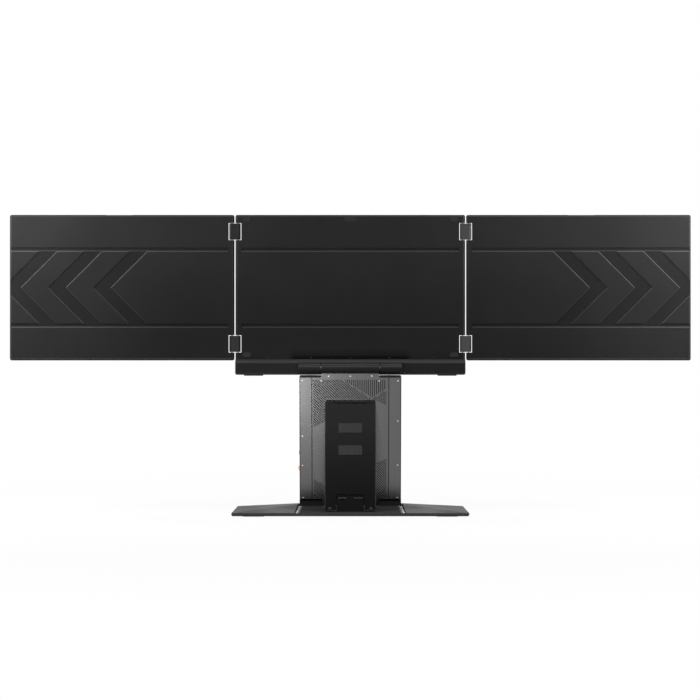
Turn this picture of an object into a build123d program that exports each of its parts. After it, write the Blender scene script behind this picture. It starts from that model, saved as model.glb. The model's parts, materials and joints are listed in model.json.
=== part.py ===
from build123d import *
from math import atan2, cos, degrees, hypot, radians, sin, tan
import os

# Laptop screen extender: faceted base, leaning mast on a kick leg, centre display on a barrel hinge
# and a side display on each side, carried by double-axis links.
# Millimetres, +Z up, +X to the right as seen from behind, +Y towards the user.
# Origin on the table, under the middle of the base.

# ---- Driving dimensions ----

# Displays
active_width = 336.0        # 15.6-inch 16:10 panel
active_height = 210.0
side_margin = 12.0          # from the panel to a side display's left and right edges
top_margin = 11.7           # from the panel to a side display's top and bottom edges
centre_margin = 16.1
chin_drop = 22.9            # how far the centre display reaches below the side ones
display_thickness = 9.0
cover_depth = 6.0           # back cover's share of the thickness, the bezel has the rest
cover_floor = 1.8
cover_rim = 3.0
edge_bevel = 2.8
corner_radius = 3.2
window_gap = 0.3            # around the panel in the bezel's window
glass_thickness = 1.0
glass_sink = 0.2            # glass below the bezel's face
lcd_thickness = 2.6
screen_gap = 1.8            # between neighbouring displays

# Grooves and chevrons pressed in the back covers
relief_depth = 0.8
relief_draft = 58.0         # degrees, slope of the chevron bands' walls
relief_overlap = 1.8        # how far the bands run into the grooves
groove_width = 7.4
groove_spacing = 121.6      # between the two groove centres
groove_end_gap = 9.8        # from a groove's closed end to the hinge edge
chevron_width = 30.6        # along X
chevron_pitch = 72.2
first_chevron_inset = -11.6  # apex of the outermost band, measured in from the outer edge
chevron_count = 3
finger_notch_width = 43.0
finger_notch_depth = 1.2
finger_notch_shift = 4.3    # outwards from the display's middle

# Chin of the centre display
chin_depth = 9.0            # rearwards of the back face
ledge_height = 24.9         # top of the sloped ledge above the chin's underside
ledge_drop = 6.2
chin_wall = 1.8
chin_end_bevel = 2.0
back_pad_height = 0.4
back_pad_size = (13.6, 8.0)
back_pad_inset = (18.0, 7.2)
top_pad_size = (21.6, 8.0)
ledge_screw_places = (-133.0, -62.5, 0.0, 62.5, 133.0)
ledge_screw_radius = 1.3
ledge_screw_depth = 1.2
ledge_screw_rise = 2.4      # above the ledge's top line
chin_foot_size = (30.5, 6.0)
chin_foot_height = 1.5
chin_foot_inset = 29.3      # foot's middle from the chin's end
hinge_plate_thickness = 1.2
hinge_plate_height = 20.0

# Side hinge links
link_axis_spacing = 9.6
link_radius = 4.35
link_height = 26.0
link_side_gap = 1.25
link_end_gap = 0.85
link_inset = 26.6           # link's middle from the side display's top and bottom edges
link_band_width = 12.0
link_band_groove = 0.35
link_bevel = 0.5
link_pin_radius = 1.25
link_pin_bite = 6.0         # pin's length inside the cover at each end
hinge_rail = 10.8           # solid edge of a cover that holds the pins
pin_clearance = 0.05

# Base
base_rear_y = -72.0
base_front_y = 72.0
wing_tip_rear = 185.9
wing_tip_ridge = 181.8
wing_tip_front = 178.0
ridge_y = 25.0
rear_edge_height = 6.0
ridge_tip_height = 8.9
ridge_root_height = 13.6
front_edge_height = 6.6
crease_root_y = 10.0
recess_half_rear = 85.8
bay_half = 83.0
recess_floor_rear = 5.8
recess_floor_front = 10.3
plate_thickness = 1.2
plate_inset = 1.0
foot_height = 1.2
foot_size = (34.0, 9.0)
foot_inset = (26.0, 12.0)
ballast_thickness = 1.7
ballast_gap = 0.3
ballast_span_x = (94.0, 168.0)
ballast_span_y = (-58.0, 52.0)
rear_screw_place = 53.5
rear_screw_inset = 2.6
small_screw_radius = 1.2
small_screw_depth = 1.6
outer_screw_inset = (12.0, 10.0)    # of the bottom plate's screws from the wing's front corners
inner_screw_inset = (8.0, 10.0)
middle_screw_place = (176.0, -34.0)
rear_plate_screws = (104.0, 8.0)
centre_plate_screws = (62.0, 32.0)
plate_screw_radius = 2.6
plate_screw_head = 0.8
plate_screw_shank = 1.3
plate_screw_length = 3.4
screw_clearance = 0.05
overshoot = 1.0             # cutters start or end this far outside what they cut

# Base hinge
hinge_y = 20.0
hinge_z = 14.7
ear_radius = 6.7
ear_inner = 45.1
ear_outer = 81.7
ear_foot_front = 4.5        # block's reach ahead of the axis
ear_slope = 45.0            # degrees, where the block's sloped back meets the knuckle
bridge_setback = 10.0       # base shell's front edge behind the axis
hinge_pin_radius = 2.0

# Mast
lean = 7.5                  # degrees from vertical
mast_length = 219.3         # base hinge axis to tilt axis
mast_half_width = 81.5
mast_bottom = 7.3           # along the mast from the base hinge axis
mast_top_drop = 13.3        # tray's top below the tilt axis
mast_front = 12.5           # ahead of the hinge line
mast_rear = 5.5             # behind the hinge line
panel_thickness = 1.0
tray_wall = 2.2
tray_front_wall = 2.0
tray_corner = 2.0
tray_front_bevel = 1.2
top_tab_half = 46.0
bottom_tab_half = 44.5
bottom_tab_end = -2.5
tab_gap = 0.4               # between the top tab and the tilt barrel
groove_line_place = 61.5
groove_line_width = 1.2
groove_line_depth = 0.4
panel_screw_place = 76.2
left_screw_heights = (110.0, 63.0, 10.5)
right_screw_heights = (135.0, 63.0, 10.5)
corner_screw_drop = 6.0     # below the tray's top
top_screw_place = 46.0
top_screw_drop = 6.8
tab_screw_places = (-34.5, 0.0, 34.5)
tab_screw_drop = 12.3       # below the tilt axis
panel_screw_radius = 1.5
panel_screw_head = 0.4
panel_screw_shank = 0.8
panel_screw_length = 4.0
boss_radius = 3.2
boss_depth = 5.0
top_boss_radius = 2.6
bumper_place = 62.6
bumper_size = (15.8, 7.0)
bumper_gap = 0.3
foot_barrel_radius = 4.3
foot_barrel_half = 44.6
leaf_thickness = 2.4
leaf_gap = 0.2              # between a hinge leaf and the back panel
foot_leaf_reach = 26.0
tilt_leaf_reach = 34.0      # down from the tilt axis
tilt_leaf_half = 42.5
slot_clearance = 0.4

# Tilt hinge
barrel_radius = 7.7
tilt_half = 83.0
tilt_barrel_half = 46.7
knuckle_gap = 0.5
axis_to_back = 8.6          # tilt axis behind the display's back face
axis_to_underside = 10.8    # tilt axis above the chin's underside
barrel_bevel = 0.9
tilt_pin_radius = 3.0
knuckle_foot_half = 6.6     # half height of the block that seats a knuckle in the chin
pocket_side_gap = 0.7
pocket_top_gap = 0.7
pocket_front = 0.4          # pocket floor behind the display's back face

# Kick leg
leg_pivot_height = 166.0    # along the mast
leg_pivot_back = 9.5        # behind the hinge line
leg_foot_y = -55.0
leg_thickness = 3.2
leg_half_width = 40.2
leg_bevel = 1.2
leg_knuckle_radius = 2.4
leg_pin_radius = 1.1
leg_notch_half = 24.8
leg_block_half = 24.0
leg_notch_gap = 0.5
leg_foot_notch_half = 22.8
leg_foot_notch_height = 27.0
leg_pad_size = (37.6, 15.4)
leg_pad_centres = (-42.6, -78.5)
leg_pad_height = 0.4
leg_tip_height = 1.5
leg_floor_gap = 0.3
leg_screw_place = 32.2
leg_screw_rise = 4.4
leg_screw_radius = 2.7
leg_screw_head = 0.9
bracket_half = 21.3
bracket_height = 24.6
bracket_thickness = 2.0
bracket_flange = 14.0
bracket_slot_size = (14.0, 2.6)
bracket_slot_place = 12.4
bracket_slot_drop = 5.2     # slot's middle below the bracket's top
bracket_corner = 3.0

# Electronics of the mast
port_line = 4.0             # middle of the sockets ahead of the hinge line
port_proud = 0.3
usb_size = (9.0, 3.2)
usb_heights = (143.2, 98.6)
video_size = (11.4, 3.6)
video_height = 121.4
port_wall = 0.35
port_depth = 7.2
port_gap = 0.15
port_flat = 0.1             # straight part left between a socket's rounded corners
tongue_share = 0.72         # of a socket's length and depth
board_thickness = 1.4
board_notch_gap = 1.0
chip_size = 18.0
chip_place = (-10.0, 120.0)
memory_size = (9.0, 6.0)
memory_place = (13.4, 120.0)
chip_height = 1.6
board_span_x = (-78.6, 58.0)
board_bottom = 34.0
board_top_drop = 24.0       # below the tray's top
standoff_radius = 3.0
standoff_places_x = (-66.0, 50.0)
standoff_inset = 8.0        # from the board's lower and upper edges
button_height = 81.8
button_size = (7.0, 3.0)
button_proud = 0.7
button_corner = 1.2
button_travel = 0.5
button_flange = (8.6, 3.2)
button_flange_thickness = 0.8
switch_depth = 3.0
switch_gap = 0.1
wheel_height = 56.6
wheel_radius = 6.4
wheel_width = 5.0
wheel_proud = 2.4
wheel_grooves = 24
wheel_groove_radius = 0.3
axle_end = 0.8
wheel_axle_radius = 0.8
wheel_slot_gap = 0.5
driver_board_size = (120.0, 18.0)
driver_board_thickness = 1.2
driver_board_rise = 16.0
chin_board_height = 12.0
chin_board_gaps = (11.5, 6.3)  # to the pocket's wall and to the pin rail

# ---- Places worked out from the sizes above ----

lean_sin = sin(radians(lean))
lean_cos = cos(radians(lean))


def mast_point(along, ahead):
    """Y and Z of a point given along the mast and ahead of the hinge line."""
    return (hinge_y - along * lean_sin + ahead * lean_cos,
            hinge_z + along * lean_cos + ahead * lean_sin)


side_width = active_width + 2 * side_margin
side_height = active_height + 2 * top_margin
centre_width = active_width + 2 * centre_margin
mast_top = mast_length - mast_top_drop
tilt_y, tilt_z = mast_point(mast_length, 0)
back_y = tilt_y + axis_to_back
front_y = back_y + display_thickness
middle_y = back_y + display_thickness / 2
bezel_y = back_y + cover_depth
bezel_depth = display_thickness - cover_depth
underside_z = tilt_z - axis_to_underside
side_bottom_z = underside_z + chin_drop
top_z = side_bottom_z + side_height
side_z = (side_bottom_z + top_z) / 2
centre_height = top_z - underside_z
centre_z = (underside_z + top_z) / 2
ledge_top_z = underside_z + ledge_height
ledge_low_z = ledge_top_z - ledge_drop
gap_x = centre_width / 2 + screen_gap / 2
side_x = centre_width / 2 + screen_gap + side_width / 2
outer_x = side_x + side_width / 2
link_offset = link_axis_spacing / 2
notch_depth = link_offset + link_radius + link_side_gap - screen_gap / 2
notch_height = link_height + 2 * link_end_gap
link_levels = (side_bottom_z + link_inset, top_z - link_inset)
link_bore = link_pin_radius + pin_clearance
glass_y = front_y - glass_sink - glass_thickness
plate_top = foot_height + plate_thickness
bridge_y = hinge_y - bridge_setback
tray_back = mast_rear - panel_thickness

mast_plane = Plane(origin=(0, hinge_y, hinge_z), x_dir=(1, 0, 0), z_dir=(0, -lean_cos, -lean_sin))
mast_side = Plane(origin=(0, hinge_y, hinge_z), x_dir=(0, lean_cos, lean_sin), z_dir=(1, 0, 0))
floor_slope = atan2(recess_floor_front - recess_floor_rear, bridge_y - base_rear_y)
floor_plane = Plane(origin=(0, base_rear_y, recess_floor_rear), x_dir=(1, 0, 0),
                    z_dir=(0, -sin(floor_slope), cos(floor_slope)))


def floor_z(y):
    """Height of the recess floor at a given Y."""
    return recess_floor_rear + (y - base_rear_y) * tan(floor_slope)


leg_y, leg_z = mast_point(leg_pivot_height, -leg_pivot_back)
leg_end_z = floor_z(leg_foot_y) + leg_floor_gap
leg_angle = atan2(leg_y - leg_foot_y, leg_z - leg_end_z)
leg_length = hypot(leg_y - leg_foot_y, leg_z - leg_end_z) - leg_thickness / 2 * tan(leg_angle)
leg_plane = Plane(origin=(0, leg_y, leg_z), x_dir=(1, 0, 0), z_dir=(0, -cos(leg_angle), sin(leg_angle)))
leg_side = Plane(origin=(0, leg_y, leg_z), x_dir=(0, cos(leg_angle), -sin(leg_angle)), z_dir=(1, 0, 0))


def back_plane(y):
    """Upright plane at depth y: sketch x is +X, sketch y is +Z, and extrusions grow towards -Y."""
    return Plane.XZ.offset(-y)


def side_plane(x):
    """Plane across the width at x: sketch x is +Y, sketch y is +Z."""
    return Plane.YZ.offset(x)


def plane_over(first, second, third):
    """Upward facing plane through three points."""
    across = Vector(*second) - Vector(*first)
    normal = across.cross(Vector(*third) - Vector(*first))
    if normal.Z < 0:
        normal = -normal
    return Plane(origin=first, x_dir=across, z_dir=normal)


def height_on(plane, x, y):
    """Height of a plane above a point of the table."""
    normal = plane.z_dir
    start = plane.origin
    return start.Z - (normal.X * (x - start.X) + normal.Y * (y - start.Y)) / normal.Z


pieces = {}


def keep(name, part):
    """Label a finished piece and put it on the list."""
    part.label = name
    pieces[name] = part


# ---- Base ----

rear_tip = (wing_tip_rear, base_rear_y, rear_edge_height)
ridge_tip = (wing_tip_ridge, ridge_y, ridge_tip_height)
ridge_root = (bay_half, ridge_y, ridge_root_height)
front_middle = ((wing_tip_front + bay_half) / 2, base_front_y, front_edge_height)
upper_facet = plane_over(rear_tip, ridge_tip, ridge_root)
crease_root = (bay_half, crease_root_y, height_on(upper_facet, bay_half, crease_root_y))
rear_facet = plane_over(rear_tip, (bay_half, base_rear_y, rear_edge_height), crease_root)
front_facet = plane_over(ridge_tip, ridge_root, front_middle)
wing_outline = [
    (recess_half_rear, base_rear_y),
    (wing_tip_rear, base_rear_y),
    (wing_tip_ridge, ridge_y),
    (wing_tip_front, base_front_y),
    (bay_half, base_front_y),
    (bay_half, bridge_y),
]

with BuildPart() as wing:
    with BuildSketch(Plane.XY.offset(plate_top)):
        with BuildLine():
            Polyline(*wing_outline, close=True)
        make_face()
    extrude(amount=ridge_root_height)
    for facet in (rear_facet, upper_facet, front_facet):
        split(bisect_by=facet, keep=Keep.BOTTOM)

rear_screw_spots = [(side * rear_screw_place, base_rear_y + rear_screw_inset) for side in (-1, 1)]
plate_screw_spots = [(side * x, y) for side in (-1, 1) for x, y in (
    (rear_plate_screws[0], base_rear_y + rear_plate_screws[1]),
    (centre_plate_screws[0], base_rear_y + centre_plate_screws[1]),
    middle_screw_place,
    (bay_half + inner_screw_inset[0], base_front_y - inner_screw_inset[1]),
    (wing_tip_front - outer_screw_inset[0], base_front_y - outer_screw_inset[1]))]

with BuildPart() as base_shell:
    with BuildSketch(side_plane(-recess_half_rear)):
        with BuildLine():
            Polyline((base_rear_y, plate_top), (base_rear_y, recess_floor_rear),
                     (bridge_y, recess_floor_front), (bridge_y, plate_top), close=True)
        make_face()
    extrude(amount=2 * recess_half_rear)
    add(wing.part)
    add(mirror(wing.part, about=Plane.YZ, mode=Mode.PRIVATE))
    # pockets for the ballast plates, open below
    ballast_size = (ballast_span_x[1] - ballast_span_x[0], ballast_span_y[1] - ballast_span_y[0])
    ballast_middle = (sum(ballast_span_x) / 2, sum(ballast_span_y) / 2)
    with BuildSketch(Plane.XY.offset(plate_top)):
        with Locations(*[(side * ballast_middle[0], ballast_middle[1]) for side in (-1, 1)]):
            Rectangle(*ballast_size)
    extrude(amount=ballast_thickness + ballast_gap, mode=Mode.SUBTRACT)
    # rear screw seats and threaded holes for the plate screws
    with BuildSketch(floor_plane):
        with Locations(*[(x, rear_screw_inset) for x, _ in rear_screw_spots]):
            Circle(small_screw_radius + screw_clearance)
    extrude(amount=-small_screw_depth, mode=Mode.SUBTRACT)
    with BuildSketch(Plane.XY.offset(plate_top)):
        with Locations(*plate_screw_spots):
            Circle(plate_screw_shank + screw_clearance)
    extrude(amount=plate_screw_length - plate_thickness + plate_screw_head, mode=Mode.SUBTRACT)
keep("base_shell", base_shell.part)

with BuildPart() as base_plate:
    with BuildSketch(Plane.XY.offset(foot_height)):
        with BuildLine():
            Polyline((-wing_tip_rear, base_rear_y), (wing_tip_rear, base_rear_y),
                     (wing_tip_ridge, ridge_y), (wing_tip_front, base_front_y),
                     (-wing_tip_front, base_front_y), (-wing_tip_ridge, ridge_y), close=True)
        make_face()
        offset(amount=-plate_inset, kind=Kind.INTERSECTION)
    extrude(amount=plate_thickness)
    with Locations(Plane.XY.offset(foot_height)):
        with Locations(*plate_screw_spots):
            Cylinder(plate_screw_shank + screw_clearance, plate_thickness,
                     align=(Align.CENTER, Align.CENTER, Align.MIN), mode=Mode.SUBTRACT)
            Cylinder(plate_screw_radius + screw_clearance, plate_screw_head,
                     align=(Align.CENTER, Align.CENTER, Align.MIN), mode=Mode.SUBTRACT)
keep("base_plate", base_plate.part)

with BuildPart() as base_ballast:
    with BuildSketch(Plane.XY.offset(plate_top)):
        with Locations(*[(side * ballast_middle[0], ballast_middle[1]) for side in (-1, 1)]):
            Rectangle(ballast_size[0] - 2 * ballast_gap, ballast_size[1] - 2 * ballast_gap)
    extrude(amount=ballast_thickness)
keep("base_ballast", base_ballast.part)

foot_spots = [(side * (wing_tip_front - foot_inset[0]), y) for side in (-1, 1)
              for y in (base_rear_y + foot_inset[1], base_front_y - foot_inset[1])]

with BuildPart() as base_feet:
    with BuildSketch(Plane.XY):
        with Locations(*foot_spots):
            SlotOverall(*foot_size)
    extrude(amount=foot_height)
keep("base_feet", base_feet.part)

with BuildPart() as base_screws:
    with BuildSketch(floor_plane):
        with Locations(*[(x, rear_screw_inset) for x, _ in rear_screw_spots]):
            Circle(small_screw_radius)
    extrude(amount=-small_screw_depth)
    with BuildSketch(Plane.XY.offset(foot_height)):
        with Locations(*plate_screw_spots):
            Circle(plate_screw_radius)
    extrude(amount=plate_screw_head)
    with BuildSketch(Plane.XY.offset(foot_height + plate_screw_head)):
        with Locations(*plate_screw_spots):
            Circle(plate_screw_shank)
    extrude(amount=plate_screw_length - plate_screw_head)
keep("base_screws", base_screws.part)


def make_ear(side):
    """Knuckle of the base hinge with the block that stands on the bottom plate."""
    start = ear_inner if side > 0 else -ear_outer
    shoulder = ear_radius * sin(radians(ear_slope))
    with BuildPart() as ear:
        with BuildSketch(side_plane(start)):
            with BuildLine():
                Polyline((bridge_y, plate_top), (bridge_y, recess_floor_front),
                         (hinge_y - shoulder, hinge_z + shoulder), (hinge_y + ear_foot_front, hinge_z),
                         (hinge_y + ear_foot_front, plate_top), close=True)
            make_face()
            with Locations((hinge_y, hinge_z)):
                Circle(ear_radius)
                Circle(hinge_pin_radius + pin_clearance, mode=Mode.SUBTRACT)
        extrude(amount=ear_outer - ear_inner)
    return ear.part


keep("left_hinge_ear", make_ear(-1))
keep("right_hinge_ear", make_ear(1))

with BuildPart() as base_hinge_pin:
    with BuildSketch(side_plane(-ear_outer)):
        with Locations((hinge_y, hinge_z)):
            Circle(hinge_pin_radius)
    extrude(amount=2 * ear_outer)
keep("base_hinge_pin", base_hinge_pin.part)

bracket_top = bracket_height - leg_length

with BuildPart() as foot_bracket:
    with BuildSketch(leg_plane.offset(-bracket_thickness / 2)) as bracket_outline:
        with Locations((0, bracket_top)):
            Rectangle(2 * bracket_half, bracket_height + 2 * leg_tip_height, align=(Align.CENTER, Align.MAX))
        fillet(bracket_outline.vertices().group_by(Axis.Y)[-1], radius=bracket_corner)
        with Locations(*[(side * bracket_slot_place, bracket_top - bracket_slot_drop) for side in (-1, 1)]):
            SlotOverall(*bracket_slot_size, mode=Mode.SUBTRACT)
    extrude(amount=bracket_thickness)
    with BuildSketch(floor_plane):
        with Locations((0, (leg_foot_y - base_rear_y) / cos(floor_slope))):
            Rectangle(2 * bracket_half, bracket_flange, align=(Align.CENTER, Align.MIN))
    extrude(amount=bracket_thickness)
    split(bisect_by=floor_plane, keep=Keep.TOP)
keep("foot_bracket", foot_bracket.part)

# ---- Mast ----

edge_spots = [(-panel_screw_place, height) for height in left_screw_heights]
edge_spots += [(panel_screw_place, height) for height in right_screw_heights]
edge_spots += [(side * panel_screw_place, mast_top - corner_screw_drop) for side in (-1, 1)]
top_spots = [(side * top_screw_place, mast_top - top_screw_drop) for side in (-1, 1)]
screw_spots = edge_spots + top_spots
tab_spots = [(x, mast_length - tab_screw_drop) for x in tab_screw_places]
board_span_u = (board_bottom, mast_top - board_top_drop)
standoff_places_u = (board_bottom + standoff_inset, mast_top - board_top_drop - standoff_inset)
mast_middle = (mast_top + mast_bottom) / 2
wheel_x = -mast_half_width - wheel_proud + wheel_radius
board_front = port_line + video_size[1] / 2
tilt_leaf_low = mast_length - tilt_leaf_reach
leaf_back = tray_back - leaf_gap


def cut_wall(size_along, size_deep, height):
    """Slot through the tray's left wall, for a socket, the button or the wheel."""
    with BuildSketch(mast_side.offset(-mast_half_width - overshoot)) as slot:
        with Locations((port_line, height)):
            Rectangle(size_deep, size_along)
    extrude(slot.sketch, amount=tray_wall + 2 * overshoot, mode=Mode.SUBTRACT)


with BuildPart() as mast_tray:
    with BuildSketch(mast_plane.offset(-mast_front)):
        with Locations((0, mast_middle)):
            RectangleRounded(2 * mast_half_width, mast_top - mast_bottom, tray_corner)
    extrude(amount=mast_front + tray_back)
    chamfer(mast_tray.faces().sort_by(Axis.Y)[-1].edges(), tray_front_bevel)
    with BuildSketch(mast_plane.offset(tray_back)):
        with Locations((0, mast_middle)):
            Rectangle(2 * (mast_half_width - tray_wall), mast_top - mast_bottom - 2 * tray_wall)
    extrude(amount=-(mast_front + tray_back - tray_front_wall), mode=Mode.SUBTRACT)
    # short screw bosses on the side walls, tall ones and the board standoffs on the front wall
    with BuildSketch(mast_plane.offset(tray_back)):
        with Locations(*edge_spots):
            Circle(boss_radius)
    extrude(amount=-boss_depth)
    with BuildSketch(mast_plane.offset(tray_back)):
        with Locations(*top_spots):
            Circle(top_boss_radius)
    extrude(amount=-(mast_front - tray_front_wall + tray_back))
    with BuildSketch(mast_plane.offset(-mast_front + tray_front_wall)):
        with Locations(*[(x, u) for x in standoff_places_x for u in standoff_places_u]):
            Circle(standoff_radius)
    extrude(amount=mast_front - tray_front_wall - board_front - board_thickness)
    with BuildSketch(mast_plane.offset(tray_back)):
        with Locations(*screw_spots):
            Circle(panel_screw_shank + screw_clearance)
    extrude(amount=-panel_screw_length, mode=Mode.SUBTRACT)
    # openings for the two hinge leaves
    for low, high, half in ((mast_top - tray_wall - overshoot, mast_top + overshoot, tilt_leaf_half),
                            (mast_bottom - overshoot, mast_bottom + tray_wall + overshoot,
                             foot_barrel_half)):
        with BuildSketch(mast_plane.offset(tray_back)):
            with Locations((0, (low + high) / 2)):
                Rectangle(2 * (half + slot_clearance), high - low)
        extrude(amount=-(leaf_gap + leaf_thickness + slot_clearance), mode=Mode.SUBTRACT)
    for height in usb_heights:
        cut_wall(usb_size[0] + 2 * port_gap, usb_size[1] + 2 * port_gap, height)
    cut_wall(video_size[0] + 2 * port_gap, video_size[1] + 2 * port_gap, video_height)
    cut_wall(button_size[0] + 2 * port_gap, button_size[1] + 2 * port_gap, button_height)
    cut_wall(2 * wheel_radius + 2 * wheel_slot_gap, wheel_width + 2 * wheel_slot_gap, wheel_height)
keep("mast_tray", mast_tray.part)

with BuildPart() as back_panel:
    with BuildSketch(mast_plane.offset(tray_back)):
        with Locations((0, mast_middle)):
            Rectangle(2 * mast_half_width, mast_top - mast_bottom)
        tab_top = mast_length - barrel_radius - tab_gap
        with Locations((0, mast_top)):
            Rectangle(2 * top_tab_half, 2 * (tab_top - mast_top))
        with Locations((0, mast_bottom)):
            Rectangle(2 * bottom_tab_half, 2 * (mast_bottom - bottom_tab_end))
    extrude(amount=panel_thickness)
    with BuildSketch(mast_plane.offset(mast_rear)):
        with Locations(*[(side * groove_line_place, mast_middle) for side in (-1, 1)]):
            Rectangle(groove_line_width, mast_top - mast_bottom)
    extrude(amount=-groove_line_depth, mode=Mode.SUBTRACT)
    with BuildSketch(mast_plane.offset(mast_rear)):
        with Locations(*screw_spots, *tab_spots):
            Circle(panel_screw_shank + screw_clearance)
    extrude(amount=-panel_thickness, mode=Mode.SUBTRACT)
keep("back_panel", back_panel.part)

with BuildPart() as panel_screws:
    with BuildSketch(mast_plane.offset(mast_rear)):
        with Locations(*screw_spots, *tab_spots):
            Circle(panel_screw_radius)
    extrude(amount=panel_screw_head)
    with BuildSketch(mast_plane.offset(mast_rear)):
        with Locations(*screw_spots):
            Circle(panel_screw_shank)
    extrude(amount=-panel_screw_length)
    with BuildSketch(mast_plane.offset(mast_rear)):
        with Locations(*tab_spots):
            Circle(panel_screw_shank)
    extrude(amount=-(panel_thickness + leaf_gap + leaf_thickness))
keep("panel_screws", panel_screws.part)

with BuildPart() as mast_foot_hinge:
    with BuildSketch(mast_side.offset(-foot_barrel_half)):
        Circle(foot_barrel_radius)
        with Locations((-leaf_back, 0)):
            Rectangle(leaf_thickness, foot_leaf_reach, align=Align.MIN)
        Circle(hinge_pin_radius + pin_clearance, mode=Mode.SUBTRACT)
    extrude(amount=2 * foot_barrel_half)
keep("mast_foot_hinge", mast_foot_hinge.part)

with BuildPart() as tilt_barrel:
    with BuildSketch(mast_side.offset(-tilt_barrel_half)):
        with Locations((0, mast_length)):
            Circle(barrel_radius)
    extrude(amount=2 * tilt_barrel_half)
    chamfer(tilt_barrel.edges().filter_by(GeomType.CIRCLE), barrel_bevel)
    with BuildSketch(mast_side.offset(-tilt_leaf_half)):
        with Locations((-leaf_back, tilt_leaf_low)):
            Rectangle(leaf_thickness, tilt_leaf_reach, align=Align.MIN)
    extrude(amount=2 * tilt_leaf_half)
    with BuildSketch(mast_side.offset(-tilt_barrel_half)):
        with Locations((0, mast_length)):
            Circle(tilt_pin_radius + pin_clearance)
    extrude(amount=2 * tilt_barrel_half, mode=Mode.SUBTRACT)
    with BuildSketch(mast_plane.offset(mast_rear)):
        with Locations(*tab_spots):
            Circle(panel_screw_shank + screw_clearance)
    extrude(amount=-(panel_thickness + leaf_gap + leaf_thickness), mode=Mode.SUBTRACT)
keep("tilt_barrel", tilt_barrel.part)

bumper_height = (underside_z - bumper_gap - mast_point(mast_top, bumper_size[1])[1]) / lean_cos

with BuildPart() as tilt_bumpers:
    with BuildSketch(mast_plane.offset(-bumper_size[1])):
        with Locations(*[(side * bumper_place, mast_top) for side in (-1, 1)]):
            Rectangle(bumper_size[0], bumper_height, align=(Align.CENTER, Align.MIN))
    extrude(amount=bumper_size[1])
keep("tilt_bumpers", tilt_bumpers.part)

with BuildPart() as main_board:
    with BuildSketch(mast_plane.offset(-board_front)):
        with Locations((sum(board_span_x) / 2, sum(board_span_u) / 2)):
            Rectangle(board_span_x[1] - board_span_x[0], board_span_u[1] - board_span_u[0])
        with Locations((wheel_x, wheel_height)):
            Circle(wheel_radius + board_notch_gap, mode=Mode.SUBTRACT)
        with Locations(*edge_spots):
            Circle(boss_radius + slot_clearance, mode=Mode.SUBTRACT)
    extrude(amount=-board_thickness)
    # processor with its heat spreader, and the memory beside it
    with BuildSketch(mast_plane.offset(-board_front)):
        with Locations(chip_place):
            Rectangle(chip_size, chip_size)
        with Locations(memory_place):
            Rectangle(*memory_size)
    extrude(amount=chip_height)
keep("main_board", main_board.part)


def make_socket(size, height):
    """Metal socket shell lying in the tray's left wall, with its tongue."""
    long_side, short_side = size
    with BuildPart() as socket:
        with BuildSketch(mast_side.offset(-mast_half_width - port_proud)):
            with Locations((port_line, height)):
                RectangleRounded(short_side, long_side, (short_side - port_flat) / 2)
                RectangleRounded(short_side - 2 * port_wall, long_side - 2 * port_wall,
                                 (short_side - port_flat) / 2 - port_wall, mode=Mode.SUBTRACT)
        extrude(amount=port_depth)
        with BuildSketch(mast_side.offset(-mast_half_width - port_proud + port_depth)):
            with Locations((port_line, height)):
                RectangleRounded(short_side, long_side, (short_side - port_flat) / 2)
        extrude(amount=port_wall)
        with BuildSketch(mast_side.offset(-mast_half_width - port_proud + port_depth)):
            with Locations((port_line, height)):
                Rectangle(2 * port_wall, long_side * tongue_share)
        extrude(amount=-port_depth * tongue_share)
    return socket.part


with BuildPart() as usb_sockets:
    for height in usb_heights:
        add(make_socket(usb_size, height))
keep("usb_sockets", usb_sockets.part)
keep("video_socket", make_socket(video_size, video_height))

button_inner_x = -mast_half_width + tray_wall

with BuildPart() as power_button:
    with BuildSketch(mast_side.offset(-mast_half_width - button_proud)):
        with Locations((port_line, button_height)):
            RectangleRounded(button_size[1], button_size[0], button_corner)
    extrude(amount=button_proud + tray_wall)
    with BuildSketch(mast_side.offset(button_inner_x)):
        with Locations((port_line, button_height)):
            Rectangle(button_flange[1], button_flange[0])
    extrude(amount=button_flange_thickness)
keep("power_button", power_button.part)

with BuildPart() as power_switch:
    with BuildSketch(mast_side.offset(button_inner_x + button_flange_thickness + button_travel + switch_gap)):
        with Locations((port_line, button_height)):
            Rectangle(usb_size[1], button_size[0])
    extrude(amount=switch_depth)
keep("power_switch", power_switch.part)

with BuildPart() as menu_wheel:
    with BuildSketch(mast_plane.offset(-port_line - wheel_width / 2)):
        with Locations((wheel_x, wheel_height)):
            Circle(wheel_radius)
            Circle(wheel_axle_radius + pin_clearance, mode=Mode.SUBTRACT)
            with PolarLocations(wheel_radius, wheel_grooves):
                Circle(wheel_groove_radius, mode=Mode.SUBTRACT)
    extrude(amount=wheel_width)
keep("menu_wheel", menu_wheel.part)

with BuildPart() as wheel_axle:
    with BuildSketch(mast_plane.offset(-mast_front + tray_front_wall)):
        with Locations((wheel_x, wheel_height)):
            Circle(wheel_axle_radius)
    extrude(amount=mast_front - tray_front_wall - port_line + wheel_width / 2 + axle_end)
    with BuildSketch(mast_plane.offset(-mast_front + tray_front_wall)):
        with Locations((wheel_x, wheel_height)):
            Circle(2 * wheel_axle_radius)
    extrude(amount=mast_front - tray_front_wall - port_line - wheel_width / 2 - pin_clearance)
keep("wheel_axle", wheel_axle.part)

with BuildPart() as leg_hinge_block:
    with BuildSketch(mast_side.offset(-leg_block_half)):
        with Locations((-leg_pivot_back, leg_pivot_height)):
            Circle(leg_knuckle_radius)
            Rectangle(leg_pivot_back - mast_rear, 2 * leg_knuckle_radius,
                      align=(Align.MIN, Align.CENTER))
            Circle(leg_pin_radius + pin_clearance, mode=Mode.SUBTRACT)
    extrude(amount=2 * leg_block_half)
keep("leg_hinge_block", leg_hinge_block.part)

# ---- Kick leg ----

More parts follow.
